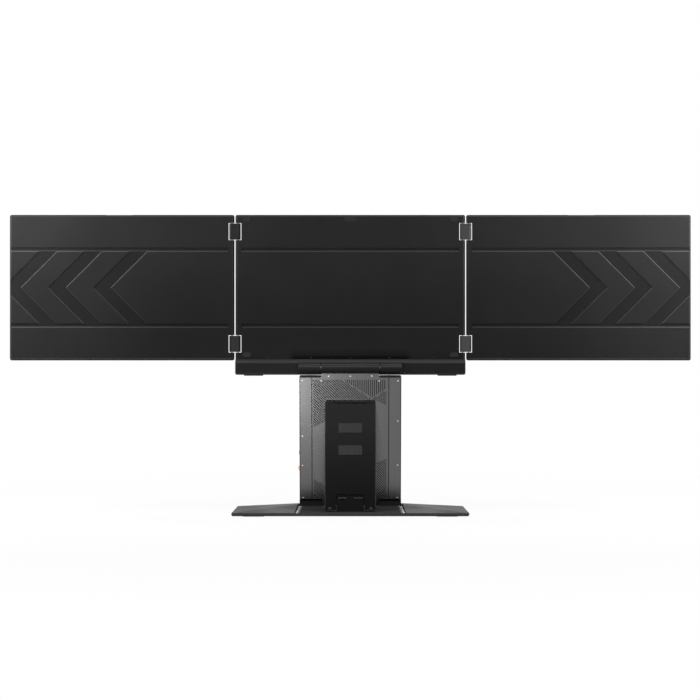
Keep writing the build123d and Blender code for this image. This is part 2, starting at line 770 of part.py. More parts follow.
with BuildPart() as kick_leg:
    with BuildSketch(Plane(origin=(0, leg_y, leg_z), x_dir=(1, 0, 0), z_dir=-leg_plane.y_dir)):
        with BuildLine():
            Polyline((-leg_half_width, -leg_thickness / 2), (-leg_half_width + leg_bevel, leg_thickness / 2),
                     (leg_half_width - leg_bevel, leg_thickness / 2), (leg_half_width, -leg_thickness / 2),
                     close=True)
        make_face()
    extrude(amount=leg_length - leg_tip_height)
    with BuildSketch(leg_side.offset(-leg_half_width + leg_bevel)):
        Circle(leg_knuckle_radius)
    extrude(amount=2 * (leg_half_width - leg_bevel))
    # notches for the hinge block and for the bracket
    with BuildSketch(leg_plane.offset(-leg_half_width)):
        notch_depth_top = leg_knuckle_radius + leg_notch_gap
        Rectangle(2 * leg_notch_half, 2 * notch_depth_top)
        with Locations((0, -leg_length)):
            Rectangle(2 * leg_foot_notch_half, leg_foot_notch_height, align=(Align.CENTER, Align.MIN))
    extrude(amount=2 * leg_half_width, mode=Mode.SUBTRACT)
    with BuildSketch(leg_side.offset(-leg_half_width)):
        Circle(leg_pin_radius + pin_clearance)
    extrude(amount=2 * leg_half_width, mode=Mode.SUBTRACT)
    with BuildSketch(leg_plane.offset(-leg_half_width)):
        with Locations(*[(side * leg_screw_place, leg_screw_rise - leg_length) for side in (-1, 1)]):
            Circle(leg_screw_radius / 2 + screw_clearance)
    extrude(amount=2 * leg_half_width, mode=Mode.SUBTRACT)
keep("kick_leg", kick_leg.part)

with BuildPart() as leg_pin:
    with BuildSketch(leg_side.offset(leg_bevel - leg_half_width)):
        Circle(leg_pin_radius)
    extrude(amount=2 * (leg_half_width - leg_bevel))
keep("leg_pin", leg_pin.part)

with BuildPart() as leg_pads:
    with BuildSketch(leg_plane.offset(leg_thickness / 2)):
        with Locations(*[(0, centre) for centre in leg_pad_centres]):
            Rectangle(*leg_pad_size)
    extrude(amount=leg_pad_height)
keep("leg_pads", leg_pads.part)

with BuildPart() as leg_screws:
    with BuildSketch(leg_plane.offset(leg_thickness / 2)):
        with Locations(*[(side * leg_screw_place, leg_screw_rise - leg_length) for side in (-1, 1)]):
            Circle(leg_screw_radius)
    extrude(amount=leg_screw_head)
    with BuildSketch(leg_plane.offset(leg_thickness / 2)):
        with Locations(*[(side * leg_screw_place, leg_screw_rise - leg_length) for side in (-1, 1)]):
            Circle(leg_screw_radius / 2)
    extrude(amount=-leg_thickness)
keep("leg_screws", leg_screws.part)

prong_middle = (leg_half_width - leg_bevel + leg_foot_notch_half) / 2
prong_width = leg_half_width - leg_bevel - leg_foot_notch_half

with BuildPart() as leg_tips:
    with BuildSketch(leg_plane.offset(-leg_thickness / 2)):
        with Locations(*[(side * prong_middle, -leg_length) for side in (-1, 1)]):
            Rectangle(prong_width, leg_tip_height, align=(Align.CENTER, Align.MIN))
    extrude(amount=leg_thickness)
keep("leg_tips", leg_tips.part)

# ---- Displays ----


def cut_hinge_notches(side, depth_from, depth_to):
    """Notches of one hinge edge, through the layers between two depths."""
    with BuildSketch(back_plane(depth_from)) as notches:
        with Locations(*[(side * gap_x, level) for level in link_levels]):
            Rectangle(2 * notch_depth + screen_gap, notch_height)
    extrude(notches.sketch, amount=depth_from - depth_to, mode=Mode.SUBTRACT)


def cut_pin_holes(axis_x):
    """Holes for the upright link pins on one axis."""
    for level in link_levels:
        with BuildSketch(Plane.XY.offset(level - notch_height / 2 - link_pin_bite)) as hole:
            with Locations((axis_x, middle_y)):
                Circle(link_pin_radius + pin_clearance)
        extrude(hole.sketch, amount=notch_height + 2 * link_pin_bite, mode=Mode.SUBTRACT)


def cut_groove(x_from, x_to, level):
    """Straight groove in a back face with one sloped side, as pressed sheet has."""
    with BuildSketch(side_plane(x_from)) as section:
        with BuildLine():
            Polyline((back_y - overshoot, level + groove_width / 2), (back_y, level + groove_width / 2),
                     (back_y + relief_depth, level + groove_width / 2 - relief_depth),
                     (back_y + relief_depth, level - groove_width / 6),
                     (back_y, level - groove_width / 2), (back_y - overshoot, level - groove_width / 2),
                     close=True)
        make_face()
    extrude(section.sketch, amount=x_to - x_from, mode=Mode.SUBTRACT)


groove_levels = (side_z - groove_spacing / 2, side_z + groove_spacing / 2)


def make_side_cover(side):
    """Back cover of a side display with its two grooves and the chevron bands between them."""
    inner_x = side * (outer_x - side_width)
    reach = groove_spacing / 2 - groove_width / 2 + relief_overlap
    with BuildPart() as cover:
        with BuildSketch(back_plane(back_y)):
            with Locations((side * side_x, side_z)):
                RectangleRounded(side_width, side_height, corner_radius)
        extrude(amount=-cover_depth)
        chamfer(cover.faces().sort_by(Axis.Y)[0].edges(), edge_bevel)
        # hollow, with a solid rail along the hinge edge
        hollow_width = side_width - hinge_rail - cover_rim
        with BuildSketch(back_plane(bezel_y)):
            with Locations((inner_x + side * (hinge_rail + hollow_width / 2), side_z)):
                Rectangle(hollow_width, side_height - 2 * cover_rim)
        extrude(amount=cover_depth - cover_floor, mode=Mode.SUBTRACT)
        cut_hinge_notches(side, back_y, bezel_y)
        cut_pin_holes(side * (gap_x + link_offset))
        for level in groove_levels:
            ends = sorted((inner_x + side * groove_end_gap, side * (outer_x + overshoot)))
            cut_groove(ends[0], ends[1], level)
        with BuildSketch(back_plane(back_y)):
            for index in range(chevron_count):
                apex = side * (outer_x - first_chevron_inset - index * chevron_pitch)
                inner = apex - side * chevron_width
                with BuildLine():
                    Polyline((apex, side_z), (apex - side * reach, side_z + reach),
                             (inner - side * reach, side_z + reach), (inner, side_z),
                             (inner - side * reach, side_z - reach),
                             (apex - side * reach, side_z - reach), close=True)
                make_face()
        extrude(amount=-relief_depth, taper=relief_draft, mode=Mode.SUBTRACT)
        # finger notch in the top edge
        with BuildSketch(back_plane(back_y)):
            with Locations((side * (side_x + finger_notch_shift), top_z)):
                Rectangle(finger_notch_width, 2 * finger_notch_depth)
        extrude(amount=-cover_depth, mode=Mode.SUBTRACT)
    return cover.part


def make_bezel(width, height, centre, hinge_sides):
    """Front frame around the panel, bevelled all round its face."""
    with BuildPart() as bezel:
        with BuildSketch(back_plane(bezel_y)):
            with Locations(centre):
                RectangleRounded(width, height, corner_radius)
        extrude(amount=-bezel_depth)
        chamfer(bezel.faces().sort_by(Axis.Y)[-1].edges(), edge_bevel)
        with BuildSketch(back_plane(bezel_y)):
            with Locations((centre[0], side_z)):
                Rectangle(active_width, active_height)
        extrude(amount=-bezel_depth, mode=Mode.SUBTRACT)
        for hinge_side in hinge_sides:
            cut_hinge_notches(hinge_side, bezel_y, front_y)
    return bezel.part


def make_panel(centre_x, start_y, thickness):
    """Flat rectangle that lies in a bezel's window."""
    with BuildPart() as panel:
        with BuildSketch(back_plane(start_y)):
            with Locations((centre_x, side_z)):
                Rectangle(active_width - 2 * window_gap, active_height - 2 * window_gap)
        extrude(amount=-thickness)
    return panel.part


def make_side_board(side):
    """Driver board on the cover's floor, under the panel's lower edge."""
    with BuildPart() as board:
        with BuildSketch(back_plane(back_y + cover_floor)):
            with Locations((side * side_x, side_bottom_z + driver_board_rise)):
                Rectangle(*driver_board_size)
        extrude(amount=-driver_board_thickness)
    return board.part


for side, word in ((-1, "left"), (1, "right")):
    keep(word + "_back_cover", make_side_cover(side))
    keep(word + "_bezel", make_bezel(side_width, side_height, (side * side_x, side_z), (side,)))
    keep(word + "_lcd", make_panel(side * side_x, glass_y - lcd_thickness, lcd_thickness))
    keep(word + "_glass", make_panel(side * side_x, glass_y, glass_thickness))
    keep(word + "_driver_board", make_side_board(side))

pocket_y = back_y - pocket_front
pocket_top = tilt_z + barrel_radius + pocket_top_gap
chin_back = back_y - chin_depth
chin_half = centre_width / 2

with BuildPart() as chin:
    with BuildSketch(side_plane(-chin_half)):
        with BuildLine():
            Polyline((back_y + edge_bevel, underside_z), (chin_back + edge_bevel, underside_z),
                     (chin_back, underside_z + edge_bevel), (chin_back, ledge_low_z),
                     (back_y, ledge_top_z), (back_y + edge_bevel, ledge_top_z), close=True)
        make_face()
    extrude(amount=centre_width)
    chamfer(chin.edges().filter_by(Axis.Z).group_by(Axis.Y)[0], chin_end_bevel)
    with BuildSketch(back_plane(chin_back)):
        with Locations((0, centre_z)):
            RectangleRounded(centre_width, centre_height, corner_radius)
    extrude(amount=-(chin_depth + edge_bevel), mode=Mode.INTERSECT)

with BuildPart() as centre_cover:
    with BuildSketch(back_plane(back_y)):
        with Locations((0, centre_z)):
            RectangleRounded(centre_width, centre_height, corner_radius)
    extrude(amount=-cover_depth)
    chamfer(centre_cover.faces().sort_by(Axis.Y)[0].edges(), edge_bevel)
    add(chin.part)
    with BuildSketch(back_plane(bezel_y)):
        with Locations((0, centre_z)):
            Rectangle(centre_width - 2 * hinge_rail, centre_height - 2 * cover_rim)
    extrude(amount=cover_depth - cover_floor, mode=Mode.SUBTRACT)
    # the chin is hollow on both sides of the hinge pocket
    chin_hollow_low = underside_z + cover_rim
    chin_hollow_inner = tilt_half + pocket_side_gap + chin_wall
    for side in (-1, 1):
        with BuildSketch(back_plane(back_y + cover_floor)):
            with Locations((side * (chin_hollow_inner + chin_half - hinge_rail) / 2, chin_hollow_low)):
                Rectangle(chin_half - hinge_rail - chin_hollow_inner,
                          ledge_low_z - chin_wall - chin_hollow_low, align=(Align.CENTER, Align.MIN))
        extrude(amount=cover_floor + chin_depth - chin_wall, mode=Mode.SUBTRACT)
    # pocket of the barrel hinge, open behind and below
    with BuildSketch(back_plane(pocket_y)):
        with Locations((0, underside_z - overshoot)):
            Rectangle(2 * (tilt_half + pocket_side_gap), pocket_top - underside_z + overshoot,
                      align=(Align.CENTER, Align.MIN))
    extrude(amount=chin_depth, mode=Mode.SUBTRACT)
    for side in (-1, 1):
        cut_hinge_notches(side, back_y, bezel_y)
        cut_pin_holes(side * (gap_x - link_offset))
    for level in groove_levels:
        cut_groove(groove_end_gap - chin_half, chin_half - groove_end_gap, level)
    with BuildSketch(back_plane(back_y)):
        with Locations(*[(x, ledge_top_z + ledge_screw_rise) for x in ledge_screw_places]):
            Circle(ledge_screw_radius + screw_clearance)
    extrude(amount=-ledge_screw_depth, mode=Mode.SUBTRACT)
keep("centre_back_cover", centre_cover.part)

keep("centre_bezel", make_bezel(centre_width, centre_height, (0, centre_z), (-1, 1)))
keep("centre_lcd", make_panel(0, glass_y - lcd_thickness, lcd_thickness))
keep("centre_glass", make_panel(0, glass_y, glass_thickness))

chin_board_inner = chin_hollow_inner + chin_board_gaps[0]
chin_board_outer = chin_half - hinge_rail - chin_board_gaps[1]

with BuildPart() as centre_driver_board:
    with BuildSketch(back_plane(chin_back + chin_wall)):
        with Locations(((chin_board_inner + chin_board_outer) / 2,
                        (chin_hollow_low + ledge_low_z - chin_wall) / 2)):
            Rectangle(chin_board_outer - chin_board_inner, chin_board_height)
    extrude(amount=-driver_board_thickness)
keep("centre_driver_board", centre_driver_board.part)

with BuildPart() as hinge_plate:
    with BuildSketch(back_plane(back_y + cover_floor)):
        with Locations((0, chin_hollow_low)):
            Rectangle(2 * tilt_half, hinge_plate_height, align=(Align.CENTER, Align.MIN))
    extrude(amount=-hinge_plate_thickness)
keep("hinge_plate", hinge_plate.part)

knuckle_length = tilt_half - tilt_barrel_half - knuckle_gap

with BuildPart() as tilt_knuckles:
    for start in (-tilt_half, tilt_barrel_half + knuckle_gap):
        with BuildSketch(side_plane(start)):
            with Locations((tilt_y, tilt_z)):
                Circle(barrel_radius)
        extrude(amount=knuckle_length)
    chamfer(tilt_knuckles.edges().filter_by(GeomType.CIRCLE), barrel_bevel)
    for start in (-tilt_half, tilt_barrel_half + knuckle_gap):
        with BuildSketch(side_plane(start)):
            with Locations((tilt_y, tilt_z)):
                Rectangle(pocket_y - tilt_y, 2 * knuckle_foot_half, align=(Align.MIN, Align.CENTER))
        extrude(amount=knuckle_length)
    with BuildSketch(side_plane(-tilt_half)):
        with Locations((tilt_y, tilt_z)):
            Circle(tilt_pin_radius + pin_clearance)
    extrude(amount=2 * tilt_half, mode=Mode.SUBTRACT)
keep("tilt_knuckles", tilt_knuckles.part)

with BuildPart() as tilt_pin:
    with BuildSketch(side_plane(-tilt_half)):
        with Locations((tilt_y, tilt_z)):
            Circle(tilt_pin_radius)
    extrude(amount=2 * tilt_half)
keep("tilt_pin", tilt_pin.part)

with BuildPart() as cover_screws:
    with BuildSketch(back_plane(back_y)):
        with Locations(*[(x, ledge_top_z + ledge_screw_rise) for x in ledge_screw_places]):
            Circle(ledge_screw_radius)
    extrude(amount=-ledge_screw_depth)
keep("cover_screws", cover_screws.part)

pad_x = chin_half - back_pad_inset[0]
pad_levels = (top_z - back_pad_inset[1], ledge_top_z + back_pad_inset[1])

with BuildPart() as back_pads:
    with BuildSketch(back_plane(back_y)):
        with Locations(*[(side * pad_x, level) for side in (-1, 1) for level in pad_levels]):
            SlotOverall(*back_pad_size)
        with Locations((0, pad_levels[0])):
            SlotOverall(*top_pad_size)
    extrude(amount=back_pad_height)
keep("back_pads", back_pads.part)

with BuildPart() as chin_feet:
    with BuildSketch(Plane.XY.offset(underside_z)):
        with Locations(*[(side * (chin_half - chin_foot_inset), chin_back + edge_bevel + chin_foot_size[1] / 2)
                         for side in (-1, 1)]):
            SlotOverall(*chin_foot_size)
    extrude(amount=-chin_foot_height)
keep("chin_feet", chin_feet.part)

# ---- Side hinges ----


def make_link(side, level):
    """Stadium-shaped link with two upright bores and a band around its middle."""
    low = level - link_height / 2
    with BuildPart() as link:
        with BuildSketch(Plane.XY.offset(low)):
            with Locations((side * gap_x, middle_y)):
                SlotCenterToCenter(link_axis_spacing, 2 * link_radius)
        extrude(amount=link_height)
        chamfer(link.edges().group_by(Axis.Z)[0] + link.edges().group_by(Axis.Z)[-1], link_bevel)
        with BuildSketch(Plane.XY.offset(low)):
            with Locations(*[(side * gap_x + end * link_offset, middle_y) for end in (-1, 1)]):
                Circle(link_bore)
        extrude(amount=link_height, mode=Mode.SUBTRACT)
        # two shallow lines that set off the band, behind and in front
        for y, way in ((middle_y - link_radius, -1), (middle_y + link_radius, 1)):
            with BuildSketch(back_plane(y)):
                with Locations(*[(side * gap_x + end * link_band_width / 2, level) for end in (-1, 1)]):
                    Rectangle(link_band_groove * 2, link_height)
            extrude(amount=way * overshoot, mode=Mode.SUBTRACT)
    return link.part


def make_pins(axes):
    """Upright pins, one for each axis and level."""
    with BuildPart() as pins:
        for level in link_levels:
            with BuildSketch(Plane.XY.offset(level - notch_height / 2 - link_pin_bite)):
                with Locations(*[(x, middle_y) for x in axes]):
                    Circle(link_pin_radius)
            extrude(amount=notch_height + 2 * link_pin_bite)
    return pins.part


for side, word in ((-1, "left"), (1, "right")):
    keep(word + "_lower_link", make_link(side, link_levels[0]))
    keep(word + "_upper_link", make_link(side, link_levels[1]))
    keep(word + "_outer_pins", make_pins([side * (gap_x + link_offset)]))
    keep(word + "_inner_pins", make_pins([side * (gap_x - link_offset)]))

# ---- Files ----

os.makedirs("parts", exist_ok=True)
for name, part in pieces.items():
    export_step(part, "parts/" + name + ".step")
print(len(pieces), "pieces written")
print("leg angle", round(degrees(leg_angle), 2), "leg length", round(leg_length, 2))
print("tilt axis", round(tilt_y, 3), round(tilt_z, 3), "leg pivot", round(leg_y, 3), round(leg_z, 3))
print("link axes", round(gap_x - link_offset, 3), round(gap_x + link_offset, 3), "middle y", round(middle_y, 3))
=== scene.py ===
import json
import math
import bmesh
import bpy
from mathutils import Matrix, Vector


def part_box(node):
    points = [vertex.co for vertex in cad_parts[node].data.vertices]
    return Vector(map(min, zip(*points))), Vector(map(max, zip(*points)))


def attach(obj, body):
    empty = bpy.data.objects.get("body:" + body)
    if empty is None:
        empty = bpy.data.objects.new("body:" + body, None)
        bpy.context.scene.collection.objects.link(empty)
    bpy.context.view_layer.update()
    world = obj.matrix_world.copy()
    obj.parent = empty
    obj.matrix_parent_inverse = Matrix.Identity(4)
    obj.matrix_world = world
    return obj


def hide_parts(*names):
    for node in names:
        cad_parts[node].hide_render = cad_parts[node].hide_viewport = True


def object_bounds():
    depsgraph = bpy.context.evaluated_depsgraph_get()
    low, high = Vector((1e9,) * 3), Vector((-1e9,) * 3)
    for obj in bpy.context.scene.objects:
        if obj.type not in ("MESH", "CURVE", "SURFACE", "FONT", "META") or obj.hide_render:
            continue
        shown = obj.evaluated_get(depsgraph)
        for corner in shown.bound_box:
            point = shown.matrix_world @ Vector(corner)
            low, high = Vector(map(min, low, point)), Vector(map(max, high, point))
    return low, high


# Laptop screen extender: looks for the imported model, in metres, seen from behind the device.

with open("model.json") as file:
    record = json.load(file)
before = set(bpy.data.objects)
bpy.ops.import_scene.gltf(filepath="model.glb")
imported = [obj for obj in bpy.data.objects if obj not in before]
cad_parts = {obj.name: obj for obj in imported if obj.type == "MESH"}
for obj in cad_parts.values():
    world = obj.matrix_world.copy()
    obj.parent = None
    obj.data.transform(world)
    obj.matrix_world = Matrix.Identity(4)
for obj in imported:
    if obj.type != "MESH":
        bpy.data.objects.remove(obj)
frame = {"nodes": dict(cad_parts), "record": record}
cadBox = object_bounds()
nodes = frame["nodes"]
print("frame loaded:", len(nodes), "nodes")

view = {"place": (-0.0005, -2.900, 0.261), "lens": 93.09, "sensor": 36.0, "reach": 60.0}
camera = bpy.data.objects.new("camera", bpy.data.cameras.new("camera"))
camera.location = view["place"]
camera.rotation_euler = (math.radians(90), 0, 0)  # level, along +Y
camera.data.lens = view["lens"]
camera.data.sensor_width = view["sensor"]
camera.data.clip_end = view["reach"]
bpy.context.scene.collection.objects.link(camera)
bpy.context.scene.camera = camera


def addLamp(name, place, aim, size, power, beam=180):
    data = bpy.data.lights.new(name, "AREA")
    data.shape = "RECTANGLE"
    data.size, data.size_y = size
    data.energy = power
    data.spread = math.radians(beam)
    lamp = bpy.data.objects.new(name, data)
    lamp.location = place
    lamp.rotation_euler = (Vector(aim) - Vector(place)).to_track_quat("-Z", "Y").to_euler()
    lamp.visible_camera = False
    bpy.context.scene.collection.objects.link(lamp)


lampPlan = {  # where each stands, what it points at, its size, its watts and its beam in degrees
    "topSoftbox": {"place": (0, 0.35, 2.2), "aim": (0, 0, 0.2), "size": (2.2, 1.0), "power": 75},
    "rearSoftbox": {"place": (0, -0.25, 2.2), "aim": (0, 0, 0.2), "size": (2.2, 1.0), "power": 15},
    "leftSoftbox": {"place": (-0.79, -0.18, 0.72), "aim": (-0.4, 0, 0.38), "size": (0.25, 0.35),
                    "power": 10},
    "rightSoftbox": {"place": (0.79, -0.18, 0.72), "aim": (0.4, 0, 0.38), "size": (0.25, 0.35),
                     "power": 10},
    "lowGrid": {"place": (-0.22, -0.75, 0.035), "aim": (-0.08, 0, 0.17), "size": (0.08, 0.05),
                "power": 0.040, "beam": 30},
    "frontFill": {"place": (0, 2.6, 1.5), "aim": (0, 0, 0.3), "size": (2.0, 1.4), "power": 30},
}
for lampName, plan in lampPlan.items():
    addLamp(lampName, **plan)
print("camera and lamps set:", len(lampPlan), "lamps")


def operator(operation, reflected=False):
    # one operator of a wire; the reflected form is the one behind 1 - mask
    def apply(self, other):
        values = (other, self) if reflected else (self, other)
        return self.combine(operation, *values)
    return apply


class Wire:  # one shader value that takes part in sums, and the tree wrapper that makes its nodes
    def __init__(self, maker, socket):
        self.maker = maker
        self.socket = socket

    def combine(self, operation, *values):
        return self.maker.node("Math", {"operation": operation}, dict(enumerate(values)))

    def beside(self, output):
        # another output of the node that this value comes from
        return Wire(self.maker, self.socket.node.outputs[output])

    def fraction(self):
        return self.combine("FRACT", self)

    def larger(self, other):
        return self.combine("MAXIMUM", self, other)

    def __abs__(self):
        return self.combine("ABSOLUTE", self)

    __add__ = operator("ADD")
    __radd__ = operator("ADD", reflected=True)
    __sub__ = operator("SUBTRACT")
    __rsub__ = operator("SUBTRACT", reflected=True)
    __mul__ = operator("MULTIPLY")
    __rmul__ = operator("MULTIPLY", reflected=True)
    __lt__ = operator("LESS_THAN")
    __gt__ = operator("GREATER_THAN")


class ShaderTree:  # makes the nodes of one material, or of the world
    def __init__(self, tree):
        self.tree = tree

    def node(self, kind, settings, values, output=0):
        made = self.tree.nodes.new("ShaderNode" + kind)
        for key, value in settings.items():
            setattr(made, key, value)
        for key, value in values.items():
            if isinstance(value, Wire):
                self.link(value, made.inputs[key])
            else:
                made.inputs[key].default_value = value
        return Wire(self, made.outputs[output])

    def link(self, wire, socket):
        self.tree.links.new(wire.socket, socket)

    def seenDirectly(self):
        # 1 for rays from the camera, and for those that gloss and glass send on
        rays = self.node("LightPath", {}, {}, "Is Camera Ray")
        return rays.larger(rays.beside("Is Glossy Ray")).larger(rays.beside("Is Transmission Ray"))


class Finish(ShaderTree):  # one material; fixed values go to the shader's own sockets
    def __init__(self, name, **fixed):
        self.material = bpy.data.materials.new(name)
        self.material.use_nodes = True
        super().__init__(self.material.node_tree)
        self.shader = self.tree.nodes["Principled BSDF"]
        for socket, value in fixed.items():
            self.shader.inputs[socket.replace("_", " ")].default_value = value

    def place(self):
        return self.node("TexCoord", {}, {}, "Object")

    def axes(self):
        across = self.node("SeparateXYZ", {}, {"Vector": self.place()}, "X")
        return across, across.beside("Y"), across.beside("Z")

    def noise(self, scale, detail=2.0, stretch=(1, 1, 1)):
        spot = self.node("Mapping", {}, {"Vector": self.place(), "Scale": stretch})
        return self.node("TexNoise", {}, {"Vector": spot, "Scale": scale, "Detail": detail}, "Fac")

    def between(self, mask, first, second):
        # a Mix node of colours has its factor at input 0, its colours at 6 and 7, its result at output 2
        colours = [(*colour, 1) if isinstance(colour, tuple) else colour for colour in (first, second)]
        return self.node("Mix", {"data_type": "RGBA"}, {0: mask, 6: colours[0], 7: colours[1]}, 2)

    def darken(self, mask, colour):
        return self.between(mask, colour, (0.0, 0.0, 0.0))

    def mottle(self, mask, shade, spread):
        # the shade in a darker and a paler tone, mixed by the mask
        return self.between(mask, scaled(shade, 1 - spread), scaled(shade, 1 + spread))

    def smooth(self, value, low, high):
        return self.node("MapRange", {"interpolation_type": "SMOOTHSTEP"},
                         {"Value": value, "From Min": low, "From Max": high})

    def bump(self, height, strength, depth):
        return self.node("Bump", {}, {"Height": height, "Strength": strength, "Distance": depth})

    def feed(self, **wires):
        for socket, wire in wires.items():
            self.link(wire, self.shader.inputs[socket.replace("_", " ")])
        return self.material


def scaled(shade, factor):
    return tuple(channel * factor for channel in shade)


def centred(mask):
    return mask - 0.5  # from 0 to 1 becomes from -0.5 to 0.5


toneRange = (0.3, 0.7)  # the stretch of a noise over which a tone changes

blast = {"grain": 1400.0, "cloud": 9.0, "cloudDetail": 3.0, "rub": 60.0, "rubDetail": 4.0, "cloudPart": 0.6,
         "grainPart": 0.4, "rubGloss": 0.12, "grainGloss": 0.10, "relief": 0.35, "depth": 0.00003}


def blastedMetal(name, shade, rough=0.42, metal=1.0, spread=0.10, paintedLight=None, **fixed):
    # bead-blasted and anodised: a fine grain, cloudy tone and slightly uneven gloss
    finish = Finish(name, Metallic=metal, **fixed)
    grain = finish.noise(blast["grain"])
    cloud = finish.noise(blast["cloud"], blast["cloudDetail"])
    rub = finish.noise(blast["rub"], blast["rubDetail"])
    tone = finish.smooth(cloud * blast["cloudPart"] + grain * blast["grainPart"], *toneRange)
    colour = finish.mottle(tone, shade, spread)
    # paintedLight, where given, paints light and shade into the colour
    return finish.feed(Base_Color=paintedLight(finish, colour) if paintedLight else colour,
                       Roughness=rough + centred(rub) * blast["rubGloss"]
                       + centred(grain) * blast["grainGloss"],
                       Normal=finish.bump(grain, blast["relief"], blast["depth"]))


brush = {"grain": 1600.0, "broad": 1600.0 / 12, "smudge": 14.0, "lineDetail": 3.0, "linePart": 0.55,
         "broadPart": 0.25, "smudgePart": 0.2, "lineGloss": 0.16, "smudgeGloss": 0.08, "depth": 0.00002}


def brushedMetal(name, shade, along=(1, 1, 0.03), rough=0.30, spread=0.14, relief=0.25, paintedLight=None):
    # drawn with fine lines along one direction
    finish = Finish(name, Metallic=1.0)
    lines = finish.noise(brush["grain"], brush["lineDetail"], along)
    broad = finish.noise(brush["broad"], stretch=along)
    smudge = finish.noise(brush["smudge"], brush["lineDetail"])
    tone = lines * brush["linePart"] + broad * brush["broadPart"] + smudge * brush["smudgePart"]
    colour = finish.mottle(finish.smooth(tone, *toneRange), shade, spread)
    # paintedLight, where given, paints light and shade into the colour
    return finish.feed(Base_Color=paintedLight(finish, colour) if paintedLight else colour,
                       Roughness=rough + centred(lines) * brush["lineGloss"]
                       + centred(smudge) * brush["smudgeGloss"],
                       Normal=finish.bump(lines, relief, brush["depth"]))


mould = {"cells": 900.0, "grain": 900.0 * 1.7, "cloud": 12.0, "cloudPart": 0.7, "grainPart": 0.3,
         "cellRelief": 0.7, "grainRelief": 0.3, "shine": 0.25, "spread": 0.12, "grainGloss": 0.14,
         "relief": 0.4, "depth": 0.00004}


def mouldedPlastic(name, shade, rough=0.5):
    # spark-eroded mould texture
    finish = Finish(name, Specular_IOR_Level=mould["shine"])
    cells = finish.node("TexVoronoi", {"feature": "SMOOTH_F1"},
                        {"Vector": finish.place(), "Scale": mould["cells"]}, "Distance")
    grain = finish.noise(mould["grain"])
    cloud = finish.noise(mould["cloud"])
    tone = finish.smooth(cloud * mould["cloudPart"] + grain * mould["grainPart"], *toneRange)
    height = cells * mould["cellRelief"] + grain * mould["grainRelief"]
    return finish.feed(Base_Color=finish.mottle(tone, shade, mould["spread"]),
                       Roughness=rough + centred(grain) * mould["grainGloss"],
                       Normal=finish.bump(height, mould["relief"], mould["depth"]))


rubber = {"shine": 0.2, "pores": 1200.0, "poreDetail": 3.0, "dust": 160.0, "dustDetail": 4.0,
          "dustRange": (0.52, 0.75), "dustTone": 0.35, "dustPaler": 1.8, "dustLift": 0.004, "rough": 0.72,
          "poreGloss": 0.2, "relief": 0.5, "depth": 0.00006}


def softRubber(name, shade):
    # matt rubber with fine dust in its pores
    finish = Finish(name, Specular_IOR_Level=rubber["shine"])
    pores = finish.noise(rubber["pores"], rubber["poreDetail"])
    dust = finish.smooth(finish.noise(rubber["dust"], rubber["dustDetail"]), *rubber["dustRange"])
    dusty = tuple(channel * rubber["dustPaler"] + rubber["dustLift"] for channel in shade)
    return finish.feed(Base_Color=finish.between(dust * rubber["dustTone"], shade, dusty),
                       Roughness=rubber["rough"] + centred(pores) * rubber["poreGloss"],
                       Normal=finish.bump(pores, rubber["relief"], rubber["depth"]))


board = {"coatRough": 0.3, "tracks": 500.0, "trackHalf": 0.12, "wander": 70.0, "wanderReach": 3.0,
         "pads": 320.0, "padHalf": 0.16, "patches": 90.0, "patchFrom": 0.56, "trackTone": 0.6,
         "mask": (0.006, 0.05, 0.02), "overTrack": (0.02, 0.10, 0.04), "tin": (0.55, 0.53, 0.48),
         "tinMetal": 0.9, "rough": 0.38, "uneven": 0.08, "trackRelief": 0.5, "relief": 0.5, "depth": 0.00005}


def circuitBoard(name):
    # solder mask over copper tracks, with tinned pads on a grid
    finish = Finish(name, Coat_Roughness=board["coatRough"])
    across, _, upward = finish.axes()
    wander = finish.noise(board["wander"], detail=1.0) * board["wanderReach"]
    tracks = abs(centred((across * board["tracks"] + wander).fraction())) < board["trackHalf"]
    rows = abs(centred((upward * board["pads"]).fraction())) < board["padHalf"]
    columns = abs(centred((across * board["pads"]).fraction())) < board["padHalf"]
    pads = rows * columns * (finish.noise(board["patches"], detail=0.0) > board["patchFrom"])
    masked = finish.between(tracks * board["trackTone"], board["mask"], board["overTrack"])
    return finish.feed(Base_Color=finish.between(pads, masked, board["tin"]),
                       Metallic=pads * board["tinMetal"],
                       Roughness=board["rough"] + tracks * board["uneven"] - pads * board["uneven"],
                       Normal=finish.bump(tracks * board["trackRelief"] + pads, board["relief"],
                                          board["depth"]))


glass = {"bend": 1.5, "alpha": 0.55, "coat": 0.4, "coatRough": 0.12, "sparkle": 2600.0, "smear": 7.0,
         "smearDetail": 4.0, "smearRange": (0.45, 0.8), "clean": (0.006, 0.006, 0.007),
         "smeared": (0.010, 0.010, 0.012), "rough": 0.16, "uneven": 0.05, "relief": 0.12, "depth": 0.00001}


def screenGlass(name):
    # anti-glare coated glass over a dark panel
    finish = Finish(name, IOR=glass["bend"], Alpha=glass["alpha"], Coat_Weight=glass["coat"],
                    Coat_Roughness=glass["coatRough"])
    sparkle = finish.noise(glass["sparkle"], detail=1.0)
    smear = finish.smooth(finish.noise(glass["smear"], glass["smearDetail"]), *glass["smearRange"])
    return finish.feed(Base_Color=finish.between(smear, glass["clean"], glass["smeared"]),
                       Roughness=glass["rough"] + sparkle * glass["uneven"] + smear * glass["uneven"],
                       Normal=finish.bump(sparkle, glass["relief"], glass["depth"]))


film = {"shine": 0.3, "stripes": 1500.0, "cloud": 6.0, "cloudDetail": 3.0, "part": 0.5,
        "dark": (0.006, 0.006, 0.008), "pale": (0.014, 0.014, 0.018), "rough": 0.30, "uneven": 0.08}


